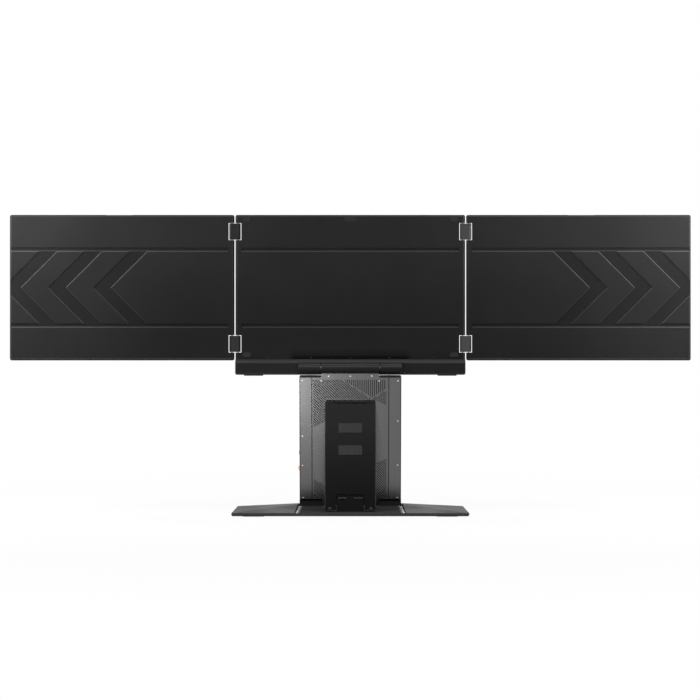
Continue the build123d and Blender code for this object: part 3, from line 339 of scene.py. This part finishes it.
def panelFilm(name):
    # switched-off panel: near black, with its fine sub-pixel grid
    finish = Finish(name, Specular_IOR_Level=film["shine"])
    stripe = (finish.axes()[0] * film["stripes"]).fraction()
    cloud = finish.noise(film["cloud"], film["cloudDetail"])
    return finish.feed(Base_Color=finish.between(stripe * film["part"] + cloud * film["part"],
                                                 film["dark"], film["pale"]),
                       Roughness=film["rough"] + cloud * film["uneven"])


# the recess of the base: half its width at y = 0 and its walls' slant; painted shade on its floor, in a line
# along its walls, on the rear edge and on the wings' rear facets and ends, and a painted highlight on the
# floor along the walls
recess = {"wallAtAxis": 0.0833, "wallSlant": -0.0341, "wallLine": 0.0015, "highlightFrom": -0.0085,
          "highlightTo": -0.0004, "frontEnd": 0.0110, "rearEdge": -0.0716,
          "floorShade": (0.020, 0.020, 0.0204), "floorHighlight": (0.24, 0.24, 0.242),
          "lineShade": (0.010, 0.010, 0.010), "edgeShade": (0.062, 0.062, 0.062),
          "wingTip": 0.1859, "creaseRun": 0.797, "facetTone": 0.24,
          "endFrom": 0.12, "endTo": 0.16, "endTone": 0.26}


def recessPaintedLight(finish, colour):
    # painted shade: the facets behind the crease, the wings' ends, a line along the recess's walls and the
    # rear edge are darker than the rest, and so is the recess's floor, which has a painted highlight along
    # its side walls
    across, along, _ = finish.axes()
    crease = (recess["wingTip"] - abs(across)) * recess["creaseRun"] + cadBox[0].y
    # painted shade on the facets behind the crease and on the wings' ends
    colour = finish.darken((along < crease) * recess["facetTone"], colour)
    wingEnd = finish.smooth(abs(across), recess["endFrom"], recess["endTo"])
    colour = finish.darken(wingEnd * recess["endTone"], colour)
    # painted shade on the recess's floor and a painted shadow line along its walls, with a painted highlight
    # on the floor by the walls
    past = abs(across) - (along * recess["wallSlant"] + recess["wallAtAxis"])
    behind = along < recess["frontEnd"]
    highlit = finish.smooth(past, recess["highlightFrom"], recess["highlightTo"])
    floorColour = finish.between(highlit * highlit, recess["floorShade"], recess["floorHighlight"])
    colour = finish.between((past < recess["wallLine"]) * behind, colour, recess["lineShade"])
    colour = finish.between((past < 0.0) * behind, colour, floorColour)
    # painted shade on the rear edge
    return finish.between(along < recess["rearEdge"], colour, recess["edgeShade"])


centreFoot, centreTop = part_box("centre_back_cover")
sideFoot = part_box("left_back_cover")[0]
chinFoot = centreFoot.z
cover = {
    "top": centreTop.z, "foot": sideFoot.z, "sideFrom": centreTop.x, "back": sideFoot.y,
    # the pressed relief, darker, and its walls with a painted highlight, told apart by their depth
    "relief": 0.0008, "depthSlack": 0.0001, "faceSlack": 0.00006, "reliefTone": 0.22,
    "wallHighlightPart": 0.75, "wallHighlight": (0.050, 0.050, 0.051),
    # painted shade on the bevel along the top, on the centre cover and, lighter, on the side covers, and
    # darkest at its rim
    "bevel": 0.0029, "bevelShade": (0.006, 0.006, 0.0062), "sideShade": (0.013, 0.013, 0.0133),
    "rim": 0.00125, "rimShade": (0.0015, 0.0015, 0.0015),
    # painted shade towards the foot, which fades towards the outer ends, and painted highlights on the lower
    # edges
    "lowFrom": 0.025, "lowTo": 0.215, "lowEdge": 0.0004, "footTone": 0.34, "footPale": 0.30,
    "paleFrom": 0.25, "paleTo": 0.53, "footEdge": 0.0038, "footEdgeHighlight": (0.041, 0.041, 0.042),
    # painted shade on the chin, and a painted shadow above its ledge with a darker line in it
    "chin": chinFoot + 0.0187, "chinTone": 0.26, "chinEdge": 0.0028, "ledge": chinFoot + 0.0251,
    "shadeHalf": 0.094, "shadeSoft": 0.006, "shadeRise": 0.020, "shadeTone": 0.50,
    "lineRise": 0.0040, "lineSoft": 0.002, "lineTone": 0.32,
}


def pressedReliefAndHighlight(finish, colour, along):
    # the pressed relief is darker, and its walls have a painted highlight
    deep = along - (cover["back"] + cover["relief"])
    pressed = abs(deep) < cover["depthSlack"]
    walls = (along > cover["back"] + cover["faceSlack"]) * (deep < -cover["depthSlack"])
    colour = finish.darken(pressed * cover["reliefTone"], colour)
    return finish.between(walls * cover["wallHighlightPart"], colour, cover["wallHighlight"])


def ledgeShade(finish, across, up):
    # painted shadow: how dark the middle of the centre cover is just above the ledge
    far, soft = cover["shadeHalf"], cover["shadeSoft"]
    middle = (1 - finish.smooth(abs(across), far - soft, far + soft)) * (up > cover["ledge"])
    band = 1 - finish.smooth(up, cover["ledge"], cover["ledge"] + cover["shadeRise"])
    lineTop = cover["ledge"] + cover["lineRise"]
    line = 1 - finish.smooth(up, lineTop, lineTop + cover["lineSoft"])
    return middle * (band * cover["shadeTone"] + line * cover["lineTone"])


def coverPaintedLight(finish, colour):
    # painted shade deepens towards the foot of a cover, less so at the outer ends, and on the chin, with a
    # painted shadow above the ledge; the lower edges have a painted highlight, and the bevel along the top
    # has painted shade, most of all at its rim and on the centre cover
    across, along, up = finish.axes()
    colour = pressedReliefAndHighlight(finish, colour, along)
    foot = cover["foot"]
    # painted shade towards the foot, fading at the outer ends, and on the chin
    low = 1 - finish.smooth(up, foot + cover["lowFrom"], foot + cover["lowTo"])
    low = low * (up > foot + cover["lowEdge"])
    low = low * (cover["footTone"]
                 - finish.smooth(abs(across), cover["paleFrom"], cover["paleTo"]) * cover["footPale"])
    colour = finish.darken(low + (up < cover["chin"]) * cover["chinTone"], colour)
    # painted shadow above the ledge
    colour = finish.darken(ledgeShade(finish, across, up), colour)
    # painted highlight on the lower edges of the side covers and of the chin
    onSide = abs(across) > cover["sideFrom"]
    lowerEdges = onSide * (up < foot + cover["footEdge"]) + (up < chinFoot + cover["chinEdge"])
    colour = finish.between(lowerEdges, colour, cover["footEdgeHighlight"])
    # painted shade on the bevel along the top, darkest at its rim
    bevelled = finish.between(onSide, cover["bevelShade"], cover["sideShade"])
    bevelled = finish.between(up > cover["top"] - cover["rim"], bevelled, cover["rimShade"])
    return finish.between(up > cover["top"] - cover["bevel"], colour, bevelled)


# painted shade towards the foot of the mast, and painted highlights on the foot bracket and the tilt barrel
hingeShading = {"from": 0.01, "to": 0.21, "footShade": (0.0032, 0.0032, 0.0034)}
bracketHighlight = {"behind": -0.045, "slot": 0.0124, "halfSlot": 0.0066, "low": 0.0265, "high": 0.0284,
              "shade": (0.085, 0.085, 0.086)}
barrelHighlight = {"behind": -0.012, "low": 0.2338, "high": 0.2349, "shade": (0.042, 0.042, 0.043)}


def hingePaintedLight(finish, colour):
    # painted shade makes hinge parts darker towards the foot of the mast; painted highlights make the foot
    # bracket pale above its slots, and the tilt barrel along a line under the chin
    across, along, up = finish.axes()
    higher = finish.smooth(up, hingeShading["from"], hingeShading["to"])
    colour = finish.between(higher, hingeShading["footShade"], colour)
    # painted highlight on the foot bracket above its slots
    beside = abs(abs(across) - bracketHighlight["slot"]) < bracketHighlight["halfSlot"]
    slotLit = beside * (along < bracketHighlight["behind"]) * (up > bracketHighlight["low"]) * (up < bracketHighlight["high"])
    colour = finish.between(slotLit, colour, bracketHighlight["shade"])
    # painted highlight along the tilt barrel under the chin
    barrelLit = (along < barrelHighlight["behind"]) * (up > barrelHighlight["low"]) * (up < barrelHighlight["high"])
    return finish.between(barrelLit, colour, barrelHighlight["shade"])


linkShading = {"left": 0.32, "right": 0.36, "pale": (0.10, 0.10, 0.102)}


def linkPaintedLight(finish, colour):
    # painted shade on the left pair of links, and a painted highlight on the right pair
    across = finish.axes()[0]
    colour = finish.darken((across < 0.0) * linkShading["left"], colour)
    return finish.between((across > 0.0) * linkShading["right"], colour, linkShading["pale"])


finishes = {  # one for each material slot of the record
    # the covers carry painted shade and painted highlights
    "dark_cover": blastedMetal("darkCover", (0.0225, 0.0225, 0.023), rough=0.50, metal=0.0,
                               paintedLight=coverPaintedLight, Specular_IOR_Level=0.03),
    "bezel_black": mouldedPlastic("bezelBlack", (0.011, 0.011, 0.0115), rough=0.42),
    "panel_film": panelFilm("panelFilm"),
    "screen_glass": screenGlass("screenGlass"),
    "circuit_board": circuitBoard("circuitBoard"),
    # the links carry painted shade on the left pair and a painted highlight on the right pair
    "link_metal": brushedMetal("linkMetal", (0.042, 0.042, 0.043), rough=0.36, paintedLight=linkPaintedLight),
    "bare_steel": brushedMetal("bareSteel", (0.46, 0.45, 0.44), along=(0.03, 1, 1), rough=0.24),
    "screw_steel": blastedMetal("screwSteel", (0.42, 0.42, 0.42), rough=0.26, spread=0.06),
    # the base carries painted shade and a painted highlight in and around its recess
    "base_grey": blastedMetal("baseGrey", (0.089, 0.089, 0.090), rough=0.62, metal=0.0,
                              paintedLight=recessPaintedLight, Specular_IOR_Level=0.0),
    "panel_aluminium": brushedMetal("panelAluminium", (0.120, 0.120, 0.121), rough=0.27, spread=0.05,
                                    relief=0.08),
    "tray_black": mouldedPlastic("trayBlack", (0.008, 0.008, 0.0085)),
    "rubber_black": softRubber("rubberBlack", (0.017, 0.017, 0.017)),
    # hinge parts carry painted shade towards the foot and painted highlights
    "hinge_dark": blastedMetal("hingeDark", (0.0155, 0.0155, 0.0159), rough=0.40, metal=0.0, spread=0.0,
                               paintedLight=hingePaintedLight, Specular_IOR_Level=0.06),
    "plate_steel": blastedMetal("plateSteel", (0.02, 0.02, 0.02), rough=0.5, metal=0.0,
                                Specular_IOR_Level=0.4),
    "copper_wheel": brushedMetal("copperWheel", (0.74, 0.42, 0.30), along=(1, 0.05, 1)),
    "button_black": mouldedPlastic("buttonBlack", (0.01, 0.01, 0.01), rough=0.4),
    "switch_black": mouldedPlastic("switchBlack", (0.014, 0.014, 0.014), rough=0.6),
    "socket_steel": brushedMetal("socketSteel", (0.36, 0.36, 0.35), along=(0.05, 1, 1), rough=0.26),
}
for part in frame["record"]["subparts"]:
    materials = nodes[part["node"]].data.materials
    materials.clear()
    materials.append(finishes[part["material_slot"]])
for name in ("base_hinge_pin", "leg_pin"):  # blackened like the plates, not bare
    nodes[name].data.materials[0] = finishes["plate_steel"]
print("finishes on the packed nodes:", len(finishes))


def newObject(name, mesh):
    made = bpy.data.objects.new(name, mesh)
    bpy.context.scene.collection.objects.link(made)
    return made


def toMesh(bm, name):
    mesh = bpy.data.meshes.new(name)
    bm.to_mesh(mesh)
    bm.free()
    return mesh


def carry(piece, body, replaced=None):
    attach(piece, body)
    if replaced:
        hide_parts(replaced)


def connect(tree, *pairs):
    for source, target in pairs:
        tree.links.new(source, target)


def openTree(name, inputs):
    tree = bpy.data.node_groups.new(name, "GeometryNodeTree")
    for label, kind in {"Geometry": "Geometry", **inputs, "Finish": "Material"}.items():
        tree.interface.new_socket(label, in_out="INPUT", socket_type="NodeSocket" + kind)
    tree.interface.new_socket("Geometry", in_out="OUTPUT", socket_type="NodeSocketGeometry")
    return tree, tree.nodes.new("NodeGroupInput")


def closeTree(tree, given, shape):
    # every tree ends in plain geometry that has its finish on it
    realise = tree.nodes.new("GeometryNodeRealizeInstances")
    setFinish = tree.nodes.new("GeometryNodeSetMaterial")
    result = tree.nodes.new("NodeGroupOutput")
    connect(tree,
            (shape, realise.inputs["Geometry"]),
            (realise.outputs["Geometry"], setFinish.inputs["Geometry"]),
            (given.outputs["Finish"], setFinish.inputs["Material"]),
            (setFinish.outputs["Geometry"], result.inputs["Geometry"]))


def bake(name, holder, tree, values):
    # sets the named inputs, bakes the result to a plain mesh and drops the modifier with its holder
    modifier = holder.modifiers.new(tree.name, "NODES")
    modifier.node_group = tree
    for item in tree.interface.items_tree:
        if item.in_out == "INPUT" and item.name in values:
            modifier[item.identifier] = values[item.name]
    evaluated = holder.evaluated_get(bpy.context.evaluated_depsgraph_get())
    mesh = bpy.data.meshes.new_from_object(evaluated)
    mesh.name = name
    bpy.data.objects.remove(holder)
    return newObject(name, mesh)


# sets one unit on every point of a mesh
spotsTree, given = openTree("setOnSpots", {"Unit": "Object", "Size": "Float"})
unitInfo = spotsTree.nodes.new("GeometryNodeObjectInfo")
onSpots = spotsTree.nodes.new("GeometryNodeInstanceOnPoints")
connect(spotsTree,
        (given.outputs["Unit"], unitInfo.inputs["Object"]),
        (given.outputs["Geometry"], onSpots.inputs["Points"]),
        (unitInfo.outputs["Geometry"], onSpots.inputs["Instance"]),
        (given.outputs["Size"], onSpots.inputs["Scale"]))
closeTree(spotsTree, given, onSpots.outputs["Instances"])

# lays a round rib along every edge of a mesh
ribsTree, given = openTree("ribsOnLines", {"Rib Width": "Float", "Rib Sides": "Int"})
toCurve = ribsTree.nodes.new("GeometryNodeMeshToCurve")
section = ribsTree.nodes.new("GeometryNodeCurvePrimitiveCircle")
halve = ribsTree.nodes.new("ShaderNodeMath")
halve.operation = "MULTIPLY"
halve.inputs[1].default_value = 0.5  # from a rib's width to its radius
sweep = ribsTree.nodes.new("GeometryNodeCurveToMesh")
sweep.inputs["Fill Caps"].default_value = True
connect(ribsTree,
        (given.outputs["Geometry"], toCurve.inputs["Mesh"]),
        (given.outputs["Rib Width"], halve.inputs[0]),
        (halve.outputs[0], section.inputs["Radius"]),
        (given.outputs["Rib Sides"], section.inputs["Resolution"]),
        (toCurve.outputs["Curve"], sweep.inputs["Curve"]),
        (section.outputs["Curve"], sweep.inputs["Profile Curve"]))
closeTree(ribsTree, given, sweep.outputs["Mesh"])

# the mast leans about the base hinge; a place on it is (x, up the mast, out of its back)
mast = {"hingeY": 0.020, "hingeZ": 0.0147, "lean": 7.5, "panelBack": 0.0055}


def mastPlace(x, up, out=0.0):
    tilt = math.radians(mast["lean"])
    back = mast["panelBack"] + out
    return Vector((x, mast["hingeY"] - up * math.sin(tilt) - back * math.cos(tilt),
                   mast["hingeZ"] + up * math.cos(tilt) - back * math.sin(tilt)))


mastOut = (mastPlace(0, 0, 1) - mastPlace(0, 0, 0)).normalized()

# a pan head as parts of its radius and height, and the lobed recess in it
panHead = {"outline": ((1, 0), (1, 0.45), (0.82, 0.9), (0.62, 1)), "recess": ((0.44, 1), (0.40, 0.35)),
           "lobed": 0.28, "steps": 32}


def screwMesh(name, out, radius, height, lobes, shank, depth):
    # the screw's +Z is turned to point along out
    bm = bmesh.new()
    steps = panHead["steps"]

    def ring(reach, level, lobed=0.0):
        made = []
        for i in range(steps):
            turn = 2 * math.pi * i / steps
            arm = reach * (1 - lobed + lobed * math.cos(lobes * turn))
            made.append(bm.verts.new((arm * math.cos(turn), arm * math.sin(turn), level)))
        return made

    rings = [ring(shank, -depth), ring(shank, 0)]
    rings += [ring(radius * reach, height * level) for reach, level in panHead["outline"]]
    rings += [ring(radius * reach, height * level, panHead["lobed"]) for reach, level in panHead["recess"]]
    for low, high in zip(rings, rings[1:]):
        for i in range(steps):
            j = (i + 1) % steps
            bm.faces.new((low[i], low[j], high[j], high[i]))
    bm.faces.new(list(reversed(rings[0])))
    bm.faces.new(rings[-1])
    turned = Vector(out).to_track_quat("Z", "Y").to_matrix().to_4x4()
    bmesh.ops.transform(bm, verts=bm.verts, matrix=turned)
    bmesh.ops.recalc_face_normals(bm, faces=bm.faces)
    return toMesh(bm, name)


def setScrews(name, spots, out, body, replaced, slot, shape):
    unit = newObject(name + "Unit", screwMesh(name + "Unit", out, **shape))
    holder = newObject(name + "Spots", bpy.data.meshes.new(name + "Spots"))
    holder.data.from_pydata([tuple(spot) for spot in spots], [], [])
    piece = bake(name, holder, spotsTree, {"Unit": unit, "Size": 1.0, "Finish": finishes[slot]})
    bpy.data.objects.remove(unit)
    carry(piece, body, replaced)


# the panel's screws as (x, up the mast): down its two sides, then along its top edge
panelScrew = {"sides": [(-0.0762, 0.200), (-0.0766, 0.1095), (-0.0766, 0.0621), (-0.0756, 0.0092),
                        (0.0762, 0.1993), (0.0760, 0.1343), (0.0757, 0.0625), (0.0754, 0.0092)],
              "top": [(-0.046, 0.1992), (0.046, 0.1992), (-0.0345, 0.207), (0, 0.207), (0.0345, 0.207)],
              "shape": {"radius": 0.0015, "height": 0.0004, "lobes": 4, "shank": 0.0008, "depth": 0.0035}}
setScrews("panelScrewHeads", [mastPlace(*spot) for spot in panelScrew["sides"] + panelScrew["top"]],
          mastOut, "mast", "panel_screws", "screw_steel", panelScrew["shape"])

# the cover's screws, in one row; seat is from the CAD screws' inner end to the undersides of the heads
coverScrew = {"across": (-0.133, -0.0625, 0, 0.0625, 0.133), "seat": 0.0008,
              "shape": {"radius": 0.0013, "height": 0.0005, "lobes": 4, "shank": 0.0006, "depth": 0.0004}}
coverLow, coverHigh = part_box("cover_screws")
coverRow = (coverLow.z + coverHigh.z) / 2
coverSpots = [(x, coverHigh.y - coverScrew["seat"], coverRow) for x in coverScrew["across"]]
setScrews("coverScrewHeads", coverSpots, (0, -1, 0), "centre_display", "cover_screws", "tray_black",
          coverScrew["shape"])

# the leg's screws: across is half their distance, and place is (y, z) under the head
legScrew = {"across": 0.0322, "place": (-0.05556, 0.01132), "lean": 14.4,
            "shape": {"radius": 0.0026, "height": 0.0009, "lobes": 6, "shank": 0.0013, "depth": 0.0022}}
legLean = math.radians(legScrew["lean"])
legSpots = [(side * legScrew["across"], *legScrew["place"]) for side in (-1, 1)]
setScrews("legScrewHeads", legSpots, (0, -math.cos(legLean), math.sin(legLean)), "leg", "leg_screws",
          "tray_black", legScrew["shape"])
print("screws set")

# rubber bumpers that wrap over the mast's top edge, each with a raised pad under the display
bumper = {"strip": (0.0472, 0.0806), "stripUp": (0.2046, 0.2070), "stripOut": (-0.0125, 0.0002),
          "pad": (0.0547, 0.0705), "padUp": (0.2046, 0.2071), "padOut": (-0.0125, -0.0055),
          "soft": 0.0002, "softSteps": 2}


def mastBlock(bm, spanX, spanUp, spanOut):
    # a block that leans with the mast
    corners = [bm.verts.new(mastPlace(x, up, out)) for x in spanX for up in spanUp for out in spanOut]
    for face in ((0, 1, 3, 2), (4, 6, 7, 5), (0, 4, 5, 1), (2, 3, 7, 6), (0, 2, 6, 4), (1, 5, 7, 3)):
        bm.faces.new([corners[i] for i in face])


bm = bmesh.new()
for side in (-1, 1):
    for kind in ("strip", "pad"):
        mastBlock(bm, [side * x for x in bumper[kind]], bumper[kind + "Up"], bumper[kind + "Out"])
bmesh.ops.recalc_face_normals(bm, faces=bm.faces)
bmesh.ops.bevel(bm, geom=list(bm.edges), offset=bumper["soft"], segments=bumper["softSteps"], affect="EDGES")
bumperPads = newObject("tiltBumperPads", toMesh(bm, "tiltBumperPads"))
bumperPads.data.materials.append(finishes["rubber_black"])
carry(bumperPads, "mast", "tilt_bumpers")

# foot hinge: the barrel is made thicker and longer, so that it fills the space between the ears
footBarrel = {"radius": 0.0043, "fullRadius": 0.0052, "end": 0.0446, "fullEnd": 0.04498, "slack": 5e-5,
              "merge": 1e-6}
bm = bmesh.new()
bm.from_mesh(nodes["mast_foot_hinge"].data)
bmesh.ops.remove_doubles(bm, verts=bm.verts, dist=footBarrel["merge"])
for vert in bm.verts:
    arm = Vector((vert.co.y - mast["hingeY"], vert.co.z - mast["hingeZ"]))
    if abs(arm.length - footBarrel["radius"]) < footBarrel["slack"]:
        arm *= footBarrel["fullRadius"] / arm.length
        vert.co.y, vert.co.z = mast["hingeY"] + arm.x, mast["hingeZ"] + arm.y
    if abs(abs(vert.co.x) - footBarrel["end"]) < footBarrel["slack"]:
        vert.co.x = math.copysign(footBarrel["fullEnd"], vert.co.x)
footHinge = newObject("mastFootHinge", toMesh(bm, "mastFootHinge"))
footHinge.data.materials.append(finishes["hinge_dark"])
carry(footHinge, "mast", "mast_foot_hinge")
print("bumpers and foot hinge made")

# dark lines on the mast's back panel, raised ribs whose dark colour is painted shade: fields of hatching and
# two long lines down each side; sunk is how deep a line's axis lies, and the rest of half its width stands
# proud of the panel
hatch = {"uprightPitch": 0.0033, "slantPitch": 0.0029, "shortest": 0.0016, "margin": 0.0004, "width": 0.0018,
         "sunk": 0.00062, "sides": 8, "sideLines": (-0.0805, -0.0615, 0.0615, 0.0805),
         "sideLineSpan": (0.009, 0.204), "sideLineWidth": 0.00155}
hatchFields = [  # corners as (x, up the mast) in millimetres, and the lines' slope in degrees
    ([(-59.5, 201.5), (-13.2, 201.5), (33.5, 170.2), (-39.5, 170.2), (-39.5, 133.6), (-59.5, 123.8)], -45),
    ([(-12, 201.5), (57.8, 201.5), (57.8, 187), (34.6, 172)], 90),
    ([(35, 170), (57.8, 185), (57.8, 159.5)], 45),
    ([(-58.8, 39.5), (-43.2, 31.5), (-43.2, 10.5), (-58.8, 18.7)], -45),
    ([(-58.8, 17.5), (-43.2, 9.2), (-58.8, 9.2)], 90),
    ([(42.0, 66.8), (58.4, 74), (58.4, 9.2), (42.0, 9.2)], -45),
]


def hatchLines(corners, slope):
    # parallel lines cut to a polygon: each pair of crossings is one line
    pitch = hatch["uprightPitch"] if slope == 90 else hatch["slantPitch"]
    turn = math.radians(slope)
    along, across = Vector((math.cos(turn), math.sin(turn))), Vector((-math.sin(turn), math.cos(turn)))
    points = [Vector(corner) / 1000 for corner in corners]
    offsets = [point.dot(across) for point in points]
    level = math.ceil(min(offsets) / pitch) * pitch + pitch / 3  # a third past a whole number of pitches
    lines = []
    while level < max(offsets):
        cuts = []
        for a, b in zip(points, points[1:] + points[:1]):
            da, db = a.dot(across) - level, b.dot(across) - level
            if da * db < 0:
                cuts.append((a + (b - a) * da / (da - db)).dot(along))
        cuts.sort()
        for start, end in zip(cuts[::2], cuts[1::2]):
            if end - start > hatch["shortest"]:
                lines.append([along * reach + across * level
                              for reach in (start + hatch["margin"], end - hatch["margin"])])
        level += pitch
    return lines


# the lines' dark colour is painted shade
paintedLineShade = blastedMetal("cutLine", (0.010, 0.010, 0.0103), rough=0.5, metal=0.0, Specular_IOR_Level=0.1)


def cutLines(name, lines, width):
    ends = [tuple(mastPlace(*end, -hatch["sunk"])) for line in lines for end in line]
    holder = newObject(name + "Path", bpy.data.meshes.new(name + "Path"))
    holder.data.from_pydata(ends, [(i, i + 1) for i in range(0, len(ends), 2)], [])
    piece = bake(name, holder, ribsTree, {"Rib Width": width, "Rib Sides": hatch["sides"],
                                          "Finish": paintedLineShade})
    carry(piece, "mast")


hatchRuns = [line for corners, slope in hatchFields for line in hatchLines(corners, slope)]
sideRuns = [[(x, up) for up in hatch["sideLineSpan"]] for x in hatch["sideLines"]]
cutLines("panelHatching", hatchRuns, hatch["width"])
cutLines("panelSideLines", sideRuns, hatch["sideLineWidth"])
print("lines cut in the panel:", len(hatchRuns) + len(sideRuns))

floor = {"size": 14.0, "under": 0.0003, "shade": (0.36, 0.36, 0.36), "rough": 0.9, "whitened": 0.90,
         "fadeFrom": 0.30, "fadeTo": 1.2}
half = floor["size"] / 2
corners = [(x * half, y * half, -floor["under"]) for x, y in ((-1, -1), (1, -1), (1, 1), (-1, 1))]
floorMesh = bpy.data.meshes.new("floor")
floorMesh.from_pydata(corners, [], [(0, 1, 2, 3)])
paper = Finish("paleFloor", Roughness=floor["rough"], Specular_IOR_Level=0.0,
               Base_Color=(*floor["shade"], 1))
distance = paper.node("VectorMath", {"operation": "LENGTH"}, {0: paper.place()}, "Value")
faded = paper.smooth(distance, floor["fadeFrom"], floor["fadeTo"])
whitening = floor["whitened"] + (1 - floor["whitened"]) * faded  # seen as white, most of all further out
glow = paper.node("Emission", {}, {"Color": (1, 1, 1, 1), "Strength": 1.0})
blended = paper.node("MixShader", {}, {0: paper.seenDirectly() * whitening,
                                       1: Wire(paper, paper.shader.outputs[0]), 2: glow})
paper.link(blended, paper.tree.nodes["Material Output"].inputs["Surface"])
floorMesh.materials.append(paper.material)
newObject("floor", floorMesh)

sky = {"around": 0.06, "seen": 1.0}  # what lights the object, and what is seen
world = bpy.data.worlds.new("studio")
world.use_nodes = True
bpy.context.scene.world = world
background = world.node_tree.nodes["Background"]
background.inputs["Color"].default_value = (1, 1, 1, 1)
air = ShaderTree(world.node_tree)
air.link(sky["around"] + (sky["seen"] - sky["around"]) * air.seenDirectly(), background.inputs["Strength"])
bpy.context.scene.view_settings.view_transform = "Standard"
print("floor and sky made")
